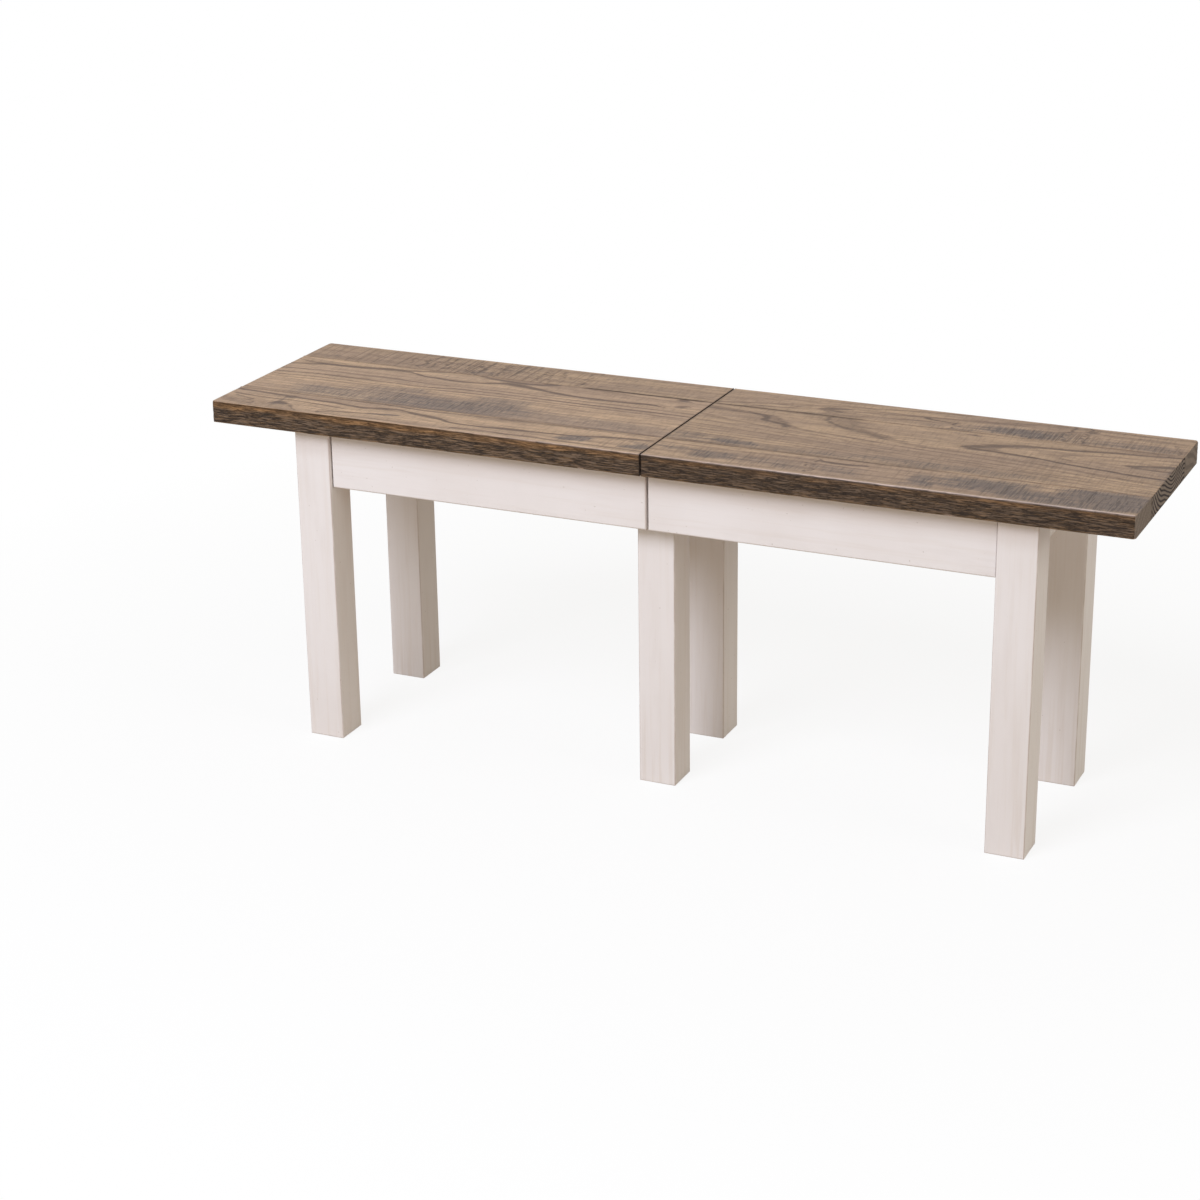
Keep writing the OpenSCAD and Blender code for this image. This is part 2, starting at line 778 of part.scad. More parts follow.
lock_plate_screws(lock_keeper_screw_x);  // lock_keeper_screws
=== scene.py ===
"""Looks of the extending dining bench: grained seat boards, painted base, studio light and camera.

X runs along the bench, Y from the front edge to the back edge and Z up from the floor. The sizes of the
seat, its figure and its joints are millimetres. Those of the camera, floor, lamps and paint are metres.
"""

import itertools
import json
import math

import bmesh
import bpy
import numpy as np
from mathutils import Matrix, Vector

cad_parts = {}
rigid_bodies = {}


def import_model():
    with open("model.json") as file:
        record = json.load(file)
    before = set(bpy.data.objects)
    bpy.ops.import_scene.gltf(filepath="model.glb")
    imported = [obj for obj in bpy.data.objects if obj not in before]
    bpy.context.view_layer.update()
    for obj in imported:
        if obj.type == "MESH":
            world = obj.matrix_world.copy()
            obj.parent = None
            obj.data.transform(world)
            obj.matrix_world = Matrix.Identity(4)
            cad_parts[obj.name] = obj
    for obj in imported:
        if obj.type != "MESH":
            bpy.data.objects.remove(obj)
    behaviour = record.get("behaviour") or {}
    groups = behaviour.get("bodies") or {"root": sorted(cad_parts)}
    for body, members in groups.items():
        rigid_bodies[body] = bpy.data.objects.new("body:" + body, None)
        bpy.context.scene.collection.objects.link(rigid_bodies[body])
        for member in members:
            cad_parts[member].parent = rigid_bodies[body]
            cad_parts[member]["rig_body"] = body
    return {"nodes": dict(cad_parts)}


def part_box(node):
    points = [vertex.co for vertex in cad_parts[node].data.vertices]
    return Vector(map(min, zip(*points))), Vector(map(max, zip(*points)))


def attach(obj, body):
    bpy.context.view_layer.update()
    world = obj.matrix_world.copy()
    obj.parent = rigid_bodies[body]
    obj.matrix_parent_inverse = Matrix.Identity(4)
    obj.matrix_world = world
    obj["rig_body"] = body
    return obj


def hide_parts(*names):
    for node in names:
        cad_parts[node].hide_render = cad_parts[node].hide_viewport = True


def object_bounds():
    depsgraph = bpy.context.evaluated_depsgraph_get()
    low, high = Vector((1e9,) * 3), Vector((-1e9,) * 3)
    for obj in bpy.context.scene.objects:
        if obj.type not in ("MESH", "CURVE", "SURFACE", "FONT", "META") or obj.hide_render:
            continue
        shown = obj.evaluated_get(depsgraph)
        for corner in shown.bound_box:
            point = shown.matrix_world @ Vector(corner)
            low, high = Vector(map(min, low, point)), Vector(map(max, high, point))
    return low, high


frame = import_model()
CAD_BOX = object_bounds()

# A millimetre in metres, and where along X the aprons butt against the end legs
MM = 0.001
LEG_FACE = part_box("right_front_leg")[0].x

# Camera in metres and radians, solved from the straight edges of the seat and the legs
CAMERA_PLACE = (1.2569, -2.9868, 1.4365)
CAMERA_YAW = 0.43397
CAMERA_PITCH = 0.36038
CAMERA_ROLL = -0.014165
FOCAL_PX = 2679.4
IMAGE_PX = 1200
SENSOR_MM = 36

# Floor and surrounding light, as the bench gets them and as the camera sees them. The floor shows its
# own shade by GLOW_NEAR of the middle, and glows plain white from GLOW_FAR on.
FLOOR_HALF = 30.0
FLOOR_BOUNCE = (0.64, 0.565, 0.465, 1)
FLOOR_SEEN = (0.97, 0.97, 0.97, 1)
FLOOR_GLOW = 0.87
GLOW_NEAR = 0.7
GLOW_FAR = 1.5
WORLD_COLOUR = (1.0, 0.91, 0.765, 1)
WORLD_STRENGTH = 0.39
WHITE = (1, 1, 1, 1)

# Lamps, all aimed at one point: place, diameter, power and colour
LAMP_AIM = (0, 0, 0.25)
LAMPS = {
    "key": ((-1.0, -3.6, 3.4), 2.6, 155, (0.965, 1.02, 1.175)),
    "side": ((6.0, -1.0, 2.4), 3.0, 66, (1.0, 0.98, 0.95)),
}

# Paint: the height up to which the streaks grow stronger towards the feet, the heights between which
# the painted shade under the seat comes and goes, and the widths of the glaze and of the dark line beside
# a leg, which is painted shade with glaze
FOOT_TOP = 0.16
SHADE_START = 0.385
SHADE_FULL = 0.412
SHADE_FADE = 0.416
SHADE_END = 0.4275
GLAZE_WIDTH = 0.0018
LEG_LINE_START = 0.0018
LEG_LINE_FULL = 0.0008

# Grid and edges of the seat boards. The lower edges get LOWER_SHARE of the radius, and wear widens an
# edge by EDGE_WEAR of it at most. Edges above SHARP_ANGLE degrees stay sharp.
STEP_X = 2.0
STEP_Y = 1.75
STEP_Z = 1.5
ARC_STEPS = 4
END_R = 2.5
LONG_R = 1.6
LOWER_SHARE = 0.3
CORNER_R = 5.0
SEAM_R = 0.5
EDGE_WEAR = 0.3
SHARP_ANGLE = 50

# Sockets for the pins: room round a pin and past its tip, and sides of the round bar
SOCKET_PLAY = 0.3
SOCKET_SPARE = 2
SOCKET_SIDES = 48

# Growth rings: how much longer they run along X, the give with which they follow the drawn lines, and
# how many metres each board's noise lies on from that of the board before
GRAIN_STRETCH = 5
RING_SLACK = 0.4
BOARD_SHIFT = 0.37

# Drawn marks: the step along a line, how much longer a knot is than wide, the depth that the marks
# reach, and how they wander off their places
PATH_STEP = 3
KNOT_STRETCH = 1.6
MARK_DEPTH = 4
WANDER_FEATURE = (30, 12, 50)
WANDER = (6, 1.2)
SMOKE_WANDER = (6, 3)
FEATHER_FEATURE = (40, 4.5, 50)
FEATHER = (8, 0)

# Stain in the glue joints, and painted shade in the gap at the split
JOINT_REACH = 3.0
JOINT_FADE = 20
SPLIT_REACH = 0.85
SPLIT_SHADE = 0.7

# Front edge: the rubbed line, worn and with a painted highlight, with its reach, how far in it ends and
# where along X it grows, then the dark line under it, the pale lower arris with its painted highlight
# and the depths between which the side darkens
RUB_HIGHLIGHT_DEPTH = 1.2
RUB_HIGHLIGHT_INSET = 1.8
RUB_HIGHLIGHT_END = 12
RUB_HIGHLIGHT_FULL = 8
RUB_HIGHLIGHT_FIRST = (-360, -60)
RUB_HIGHLIGHT_SECOND = (0, 220)
BROW_DEPTH = 2.0
BROW_REACH = 0.9
LIP_REACH = 0.7
LOWER_RANGE = (2, 22)

# Depths of the surface's relief
PLANED_DEPTH = 0.03
SAW_DEPTH = 0.22
KNOT_DEPTH = 0.45
BAND_DEPTH = 0.1
HEWN_DEPTH = 0.3
HEWN_COARSE = 0.22
HEWN_FINE = 0.12


def srgb(red, green, blue):
    """Linear colour of an 8-bit one as the eye sees it."""
    def linear(v):
        v /= 255
        return v / 12.92 if v <= 0.04045 else ((v + 0.055) / 1.055) ** 2.4
    return (linear(red), linear(green), linear(blue), 1)


class Graph:
    """Short calls that build one material's nodes."""

    def __init__(self, name):
        self.material = bpy.data.materials.new(name)
        self.material.use_nodes = True
        self.tree = self.material.node_tree
        self.shader = self.tree.nodes["Principled BSDF"]
        self.place = self.add("TexCoord").outputs["Object"]

    def add(self, kind, inputs=(), **settings):
        """New node of a kind, with its settings and what goes into its sockets."""
        node = self.tree.nodes.new("ShaderNode" + kind)
        for key, value in settings.items():
            setattr(node, key, value)
        for key, value in dict(inputs).items():
            self.join(node.inputs[key], value)
        return node

    def join(self, socket, value):
        """Links a node's output to the socket, or sets the socket to a plain value."""
        if isinstance(value, bpy.types.NodeSocket):
            self.tree.links.new(value, socket)
        else:
            socket.default_value = value

    def finish(self, **inputs):
        """Sets or links the main shader's sockets and gives the material."""
        for key, value in inputs.items():
            self.join(self.shader.inputs[key.replace("_", " ")], value)
        return self.material

    def field(self, name):
        """What the mesh stores under a name."""
        return self.add("Attribute", attribute_name=name).outputs["Fac"]

    def math(self, operation, a, b=0.0):
        return self.add("Math", {0: a, 1: b}, operation=operation).outputs[0]

    def scaled(self, value, factor, offset=0.0):
        return self.add("Math", {0: value, 1: factor, 2: offset}, operation="MULTIPLY_ADD").outputs[0]

    def within(self, value, low, high):
        """0 up to low, 1 from high on, smooth between; the other way round if low is above high."""
        if low > high:
            return self.math("SUBTRACT", 1.0, self.within(value, high, low))
        node = self.add("MapRange", {"Value": value, "From Min": low, "From Max": high},
                        interpolation_type="SMOOTHSTEP")
        return node.outputs["Result"]

    def noise(self, scale, detail=2.0, roughness=0.5, shift=0.0, place=None):
        """Noise of 0 to 1 with scale features a metre along X, Y and Z."""
        stretched = self.add("Mapping", {"Vector": place or self.place, "Scale": scale,
                                         "Location": (shift, shift, shift)}).outputs[0]
        return self.add("TexNoise", {"Vector": stretched, "Scale": 1.0, "Detail": detail,
                                     "Roughness": roughness}).outputs["Fac"]

    def mix(self, share, a, b, blend="MIX"):
        node = self.add("Mix", data_type="RGBA", blend_type=blend)
        self.join(node.inputs[0], share)
        self.join(node.inputs[6], a)
        self.join(node.inputs[7], b)
        return node.outputs[2]

    def inset(self):
        """How far a place on a box-like piece lies in from its nearer side, along X, Y and Z."""
        middle = self.add("Attribute", attribute_name="middle").outputs["Vector"]
        half = self.add("Attribute", attribute_name="half").outputs["Vector"]
        offset = self.add("VectorMath", {0: self.place, 1: middle}, operation="SUBTRACT").outputs[0]
        offset = self.add("VectorMath", {0: offset}, operation="ABSOLUTE").outputs[0]
        inset = self.add("VectorMath", {0: half, 1: offset}, operation="SUBTRACT").outputs[0]
        return self.add("SeparateXYZ", {"Vector": inset}).outputs

    def arris(self, width):
        """1 on the arrises of a box-like piece, fading to 0 at width from them."""
        x, y, z = self.inset()
        nearer, farther = self.math("MINIMUM", x, y), self.math("MAXIMUM", x, y)
        second = self.math("MAXIMUM", nearer, self.math("MINIMUM", farther, z))
        return self.within(second, width, 0.0)

    def bump(self, height, distance):
        return self.add("Bump", {"Height": height, "Distance": distance}).outputs["Normal"]


def stained_oak():
    """Brown stained oak: rings, pores, saw marks and smoky patches, over the boards' own fields."""
    g = Graph("stained_oak")
    band, smoke, saw = g.field("band"), g.field("smoke"), g.field("saw")
    board = g.field("board")
    shift = g.add("CombineXYZ", {"X": board, "Z": board}).outputs[0]
    place = g.add("VectorMath", {0: g.place, 1: shift}, operation="ADD").outputs[0]
    broad = g.noise((4, 22, 22), 2.0, place=place)
    grain = g.noise((12, 80, 80), 3.0, 0.6, place=place, shift=8.0)
    streak = g.noise((11, 240, 240), 3.0, 0.6, place=place)
    fibre = g.noise((50, 850, 850), 3.0, 0.65, place=place)
    pore = g.noise((110, 1500, 1500), 1.0, place=place, shift=3.0)
    hatch = g.noise((480, 40, 40), 3.0, 0.7, place=place)
    kerf = g.noise((340, 6, 6), 2.0, 0.6, place=place)

    # Each ring starts with a dark porous line that fades outwards
    ringed = g.scaled(streak, 0.3, g.field("ring"))
    phase = g.math("FRACT", ringed)
    fading = g.math("POWER", g.math("SUBTRACT", 1.0, phase), 4.0)
    line = g.math("MAXIMUM", fading, g.within(phase, 0.9, 1.0))
    number = g.math("ADD", g.math("FLOOR", ringed), board)
    strength = g.add("TexWhiteNoise", {"W": number}, noise_dimensions="1D").outputs["Value"]
    line = g.math("MULTIPLY", line, g.scaled(strength, 0.7, 0.3))

    face = g.mix(g.within(broad, 0.35, 0.65), srgb(187, 160, 136), srgb(207, 177, 146))
    face = g.mix(g.scaled(g.within(grain, 0.44, 0.62), 0.35), face, srgb(159, 136, 118))
    face = g.mix(g.scaled(g.within(streak, 0.46, 0.62), 0.42), face, srgb(149, 127, 110))
    face = g.mix(g.scaled(line, 0.66), face, srgb(127, 107, 93))
    face = g.mix(g.scaled(g.within(fibre, 0.44, 0.66), 0.4), face, srgb(133, 112, 96))

    torn = g.scaled(g.math("ADD", streak, fibre), 1.2, -0.2)
    banded = g.within(g.math("MULTIPLY", band, torn), 0.08, 0.4)
    face = g.mix(g.math("MULTIPLY", banded, g.scaled(band, 0.5, 0.45)), face, srgb(93, 78, 70))
    feather = g.scaled(hatch, 1.4, g.scaled(streak, 0.8, -0.2))
    smoked = g.within(g.math("MULTIPLY", smoke, feather), 0.04, 0.8)
    face = g.mix(g.scaled(smoked, 0.85), face, srgb(116, 106, 101))
    combed = g.math("MAXIMUM", g.math("MAXIMUM", g.scaled(saw, 0.6), smoke), 0.3)
    scored = g.math("MULTIPLY", g.within(hatch, 0.5, 0.64), combed)
    face = g.mix(g.scaled(scored, 0.75), face, srgb(78, 69, 65))
    mark = g.math("MULTIPLY", g.within(kerf, 0.53, 0.62), saw)
    face = g.mix(g.scaled(mark, 0.65), face, srgb(92, 77, 68))
    pores = g.math("MULTIPLY", g.within(pore, 0.6, 0.7), g.scaled(line, 0.5, 0.25))
    face = g.mix(pores, face, srgb(82, 67, 57))
    face = g.mix(1.0, face, g.field("tone"), "MULTIPLY")

    # The sides took far more stain and are rougher
    coarse = g.noise((45, 300, 800), 3.0, 0.7, place=place)
    blotch = g.noise((16, 40, 90), 3.0, 0.6, place=place, shift=5.0)
    fleck = g.noise((60, 400, 1100), 2.0, 0.6, place=place, shift=2.0)
    lower = g.math("ADD", g.field("lower"), g.scaled(blotch, 1.0, g.field("stain")))
    lower = g.within(lower, 0.5, 1.0)
    flank = g.mix(lower, srgb(152, 116, 80), srgb(112, 94, 78))
    rough = g.within(coarse, 0.47, 0.56)
    flank = g.mix(g.math("MULTIPLY", rough, g.scaled(lower, 0.35, 0.4)), flank, srgb(36, 30, 28))
    flank = g.mix(g.scaled(g.within(fleck, 0.54, 0.62), 0.4), flank, srgb(160, 126, 90))
    flank = g.mix(g.scaled(g.within(fibre, 0.5, 0.62), 0.5), flank, srgb(34, 28, 26))
    flank = g.mix(g.field("stain"), flank, srgb(56, 44, 38))
    flank = g.mix(g.scaled(g.field("brow"), 0.9), flank, srgb(26, 21, 27))
    # Pale lower arris: a painted highlight, with some wear
    flank = g.mix(g.scaled(g.field("lip"), 0.7), flank, srgb(150, 120, 80))

    # The ends show the rings as arcs
    arc = g.math("FRACT", g.scaled(broad, 1.2, g.field("ring")))
    arc = g.within(g.math("ABSOLUTE", g.scaled(arc, 1.0, -0.5)), 0.34, 0.1)
    butt = g.mix(g.math("MULTIPLY", arc, g.field("arcs")), srgb(142, 130, 120), srgb(50, 42, 40))
    dust = g.within(g.noise((900, 900, 900), 2.0), 0.45, 0.65)
    butt = g.mix(g.scaled(dust, 0.4), butt, srgb(76, 67, 63))

    side, end = g.field("side"), g.field("end")
    dry = g.math("MAXIMUM", side, end)
    colour = g.mix(side, face, flank)
    colour = g.mix(end, colour, butt)
    # Dark glue joints, and painted shade in the gap at the split
    colour = g.mix(g.field("joint"), colour, srgb(34, 22, 20))
    # Pale line on the front arris: rubbed wear with a painted highlight
    colour = g.mix(g.field("rub_and_highlight"), colour, srgb(232, 214, 206))
    height = g.math("SUBTRACT", g.scaled(fibre, 0.5), g.math("ADD", pores, g.math("ADD", mark, banded)))
    height = g.scaled(g.math("MULTIPLY", rough, side), -2.0, height)
    return g.finish(Base_Color=colour, Roughness=g.scaled(dry, 0.25, g.scaled(fibre, 0.2, 0.45)),
                    Specular_IOR_Level=0.13, Normal=g.bump(height, 0.0004))


def off_white_paint():
    """Brushed off-white paint with painted shade under the seat, brown glaze left along the arrises and
    painted shade with glaze where an apron meets a leg.
    """
    g = Graph("off_white_paint")
    x, y, z = g.add("SeparateXYZ", {"Vector": g.place}).outputs
    turned = g.add("CombineXYZ", {"X": z, "Y": y, "Z": x}).outputs[0]
    strokes = g.mix(g.field("apron"), g.place, turned)
    brushed = g.noise((60, 60, 8), 3.0, 0.6, place=strokes)
    cloud = g.noise((9, 9, 5), 2.0, shift=2.0)
    colour = g.mix(g.within(cloud, 0.3, 0.7), srgb(235, 229, 226), srgb(231, 224, 220))
    colour = g.mix(g.scaled(g.within(brushed, 0.5, 0.75), 0.2), colour, srgb(216, 206, 199))
    # Broader, darker streaks, stronger towards the feet
    broad_streaks = g.within(g.noise((130, 130, 5), 3.0, 0.65, shift=4.0, place=strokes), 0.46, 0.7)
    foot = g.within(z, FOOT_TOP, 0.0)
    colour = g.mix(g.math("MULTIPLY", broad_streaks, g.scaled(foot, 0.18, 0.16)), colour, srgb(212, 198, 184))
    speck = g.within(g.noise((300, 300, 300), 0.0, shift=7.0), 0.84, 0.88)
    colour = g.mix(g.scaled(speck, 0.35), colour, srgb(160, 142, 126))
    shaded = g.math("MULTIPLY", g.within(z, SHADE_START, SHADE_FULL), g.within(z, SHADE_END, SHADE_FADE))
    colour = g.mix(g.scaled(shaded, 0.35), colour, srgb(194, 178, 166))
    patchy = g.within(g.noise((24, 24, 24), 2.0, shift=9.0), 0.3, 0.6)
    glaze = g.math("MULTIPLY", g.arris(GLAZE_WIDTH), g.scaled(patchy, 0.5, 0.3))
    colour = g.mix(glaze, colour, srgb(160, 132, 114))
    # Dark line on an apron beside a leg: painted shade in the corner, with glaze
    leg_corner_shade = g.within(g.math("ABSOLUTE", x), LEG_FACE - LEG_LINE_START, LEG_FACE - LEG_LINE_FULL)
    colour = g.mix(g.math("MULTIPLY", leg_corner_shade, g.field("apron")), colour, srgb(70, 50, 44))
    return g.finish(Base_Color=colour, Roughness=0.5, Specular_IOR_Level=0.35,
                    Normal=g.bump(brushed, 0.00015))


def maple():
    """Pale hardwood of the slides, keys and corner blocks."""
    g = Graph("maple")
    streak = g.noise((6, 120, 120), 3.0, 0.6)
    fleck = g.noise((60, 700, 700), 2.0, shift=4.0)
    colour = g.mix(g.within(streak, 0.35, 0.7), srgb(214, 184, 140), srgb(188, 152, 106))
    colour = g.mix(g.math("MULTIPLY", g.within(fleck, 0.55, 0.7), 0.35), colour, srgb(158, 122, 82))
    return g.finish(Base_Color=colour, Roughness=0.5, Normal=g.bump(fleck, 0.0001))


def zinc_steel():
    """Bright zinc plate with a mottled, slightly blue sheen."""
    g = Graph("zinc_steel")
    mottle = g.noise((300, 300, 300), 3.0, 0.6)
    scratch = g.noise((90, 1800, 1800), 1.0, shift=6.0)
    colour = g.mix(g.within(mottle, 0.35, 0.65), srgb(176, 180, 186), srgb(204, 204, 200))
    rough = g.math("ADD", g.math("MULTIPLY", mottle, 0.25), 0.22)
    return g.finish(Base_Color=colour, Metallic=1.0, Roughness=rough, Normal=g.bump(scratch, 0.00003))


def black_plastic():
    """Moulded black plastic of the leaf pins."""
    g = Graph("black_plastic")
    grain = g.noise((1500, 1500, 1500), 2.0)
    colour = g.mix(grain, srgb(30, 31, 36), srgb(46, 47, 52))
    return g.finish(Base_Color=colour, Roughness=0.42, Normal=g.bump(grain, 0.00004))


MATERIALS = {
    "stained_oak": stained_oak(),
    "off_white_paint": off_white_paint(),
    "maple": maple(),
    "zinc_steel": zinc_steel(),
    "black_plastic": black_plastic(),
}
# Words in a node's name that say what it is made of, the first one that fits counts
MADE_OF = (
    ("board", "stained_oak"), ("apron", "off_white_paint"), ("leg", "off_white_paint"),
    ("cross_rail", "off_white_paint"), ("screws", "zinc_steel"), ("pins", "black_plastic"),
    ("slide", "maple"), ("corner_blocks", "maple"), ("lock", "zinc_steel"),
)


def box_fields(mesh, name):
    """Stores the middle and the half size of a box-like piece, and 1 on a front or rear apron."""
    low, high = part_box(name)
    for key, value in (("middle", (low + high) / 2), ("half", (high - low) / 2)):
        attribute = mesh.attributes.new(key, "FLOAT_VECTOR", "POINT")
        attribute.data.foreach_set("vector", list(value) * len(mesh.vertices))
    long_apron = float("apron" in name and high.x - low.x > high.y - low.y)
    attribute = mesh.attributes.new("apron", "FLOAT", "POINT")
    attribute.data.foreach_set("value", [long_apron] * len(mesh.vertices))


def dress_cad_nodes():
    """Gives each node of the CAD model the material that its name calls for."""
    for name, node in frame["nodes"].items():
        made_of = next(slot for word, slot in MADE_OF if word in name)
        node.data.materials.clear()
        node.data.materials.append(MATERIALS[made_of])
        if made_of == "off_white_paint":
            box_fields(node.data, name)


dress_cad_nodes()

# The seat's front edge, its thickness and the place of its split faces
FRONT_Y = -CAD_BOX[0][1] / MM
SEAT_T = (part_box("left_middle_board")[1].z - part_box("left_middle_board")[0].z) / MM
SPLIT_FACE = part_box("right_middle_board")[0].x / MM

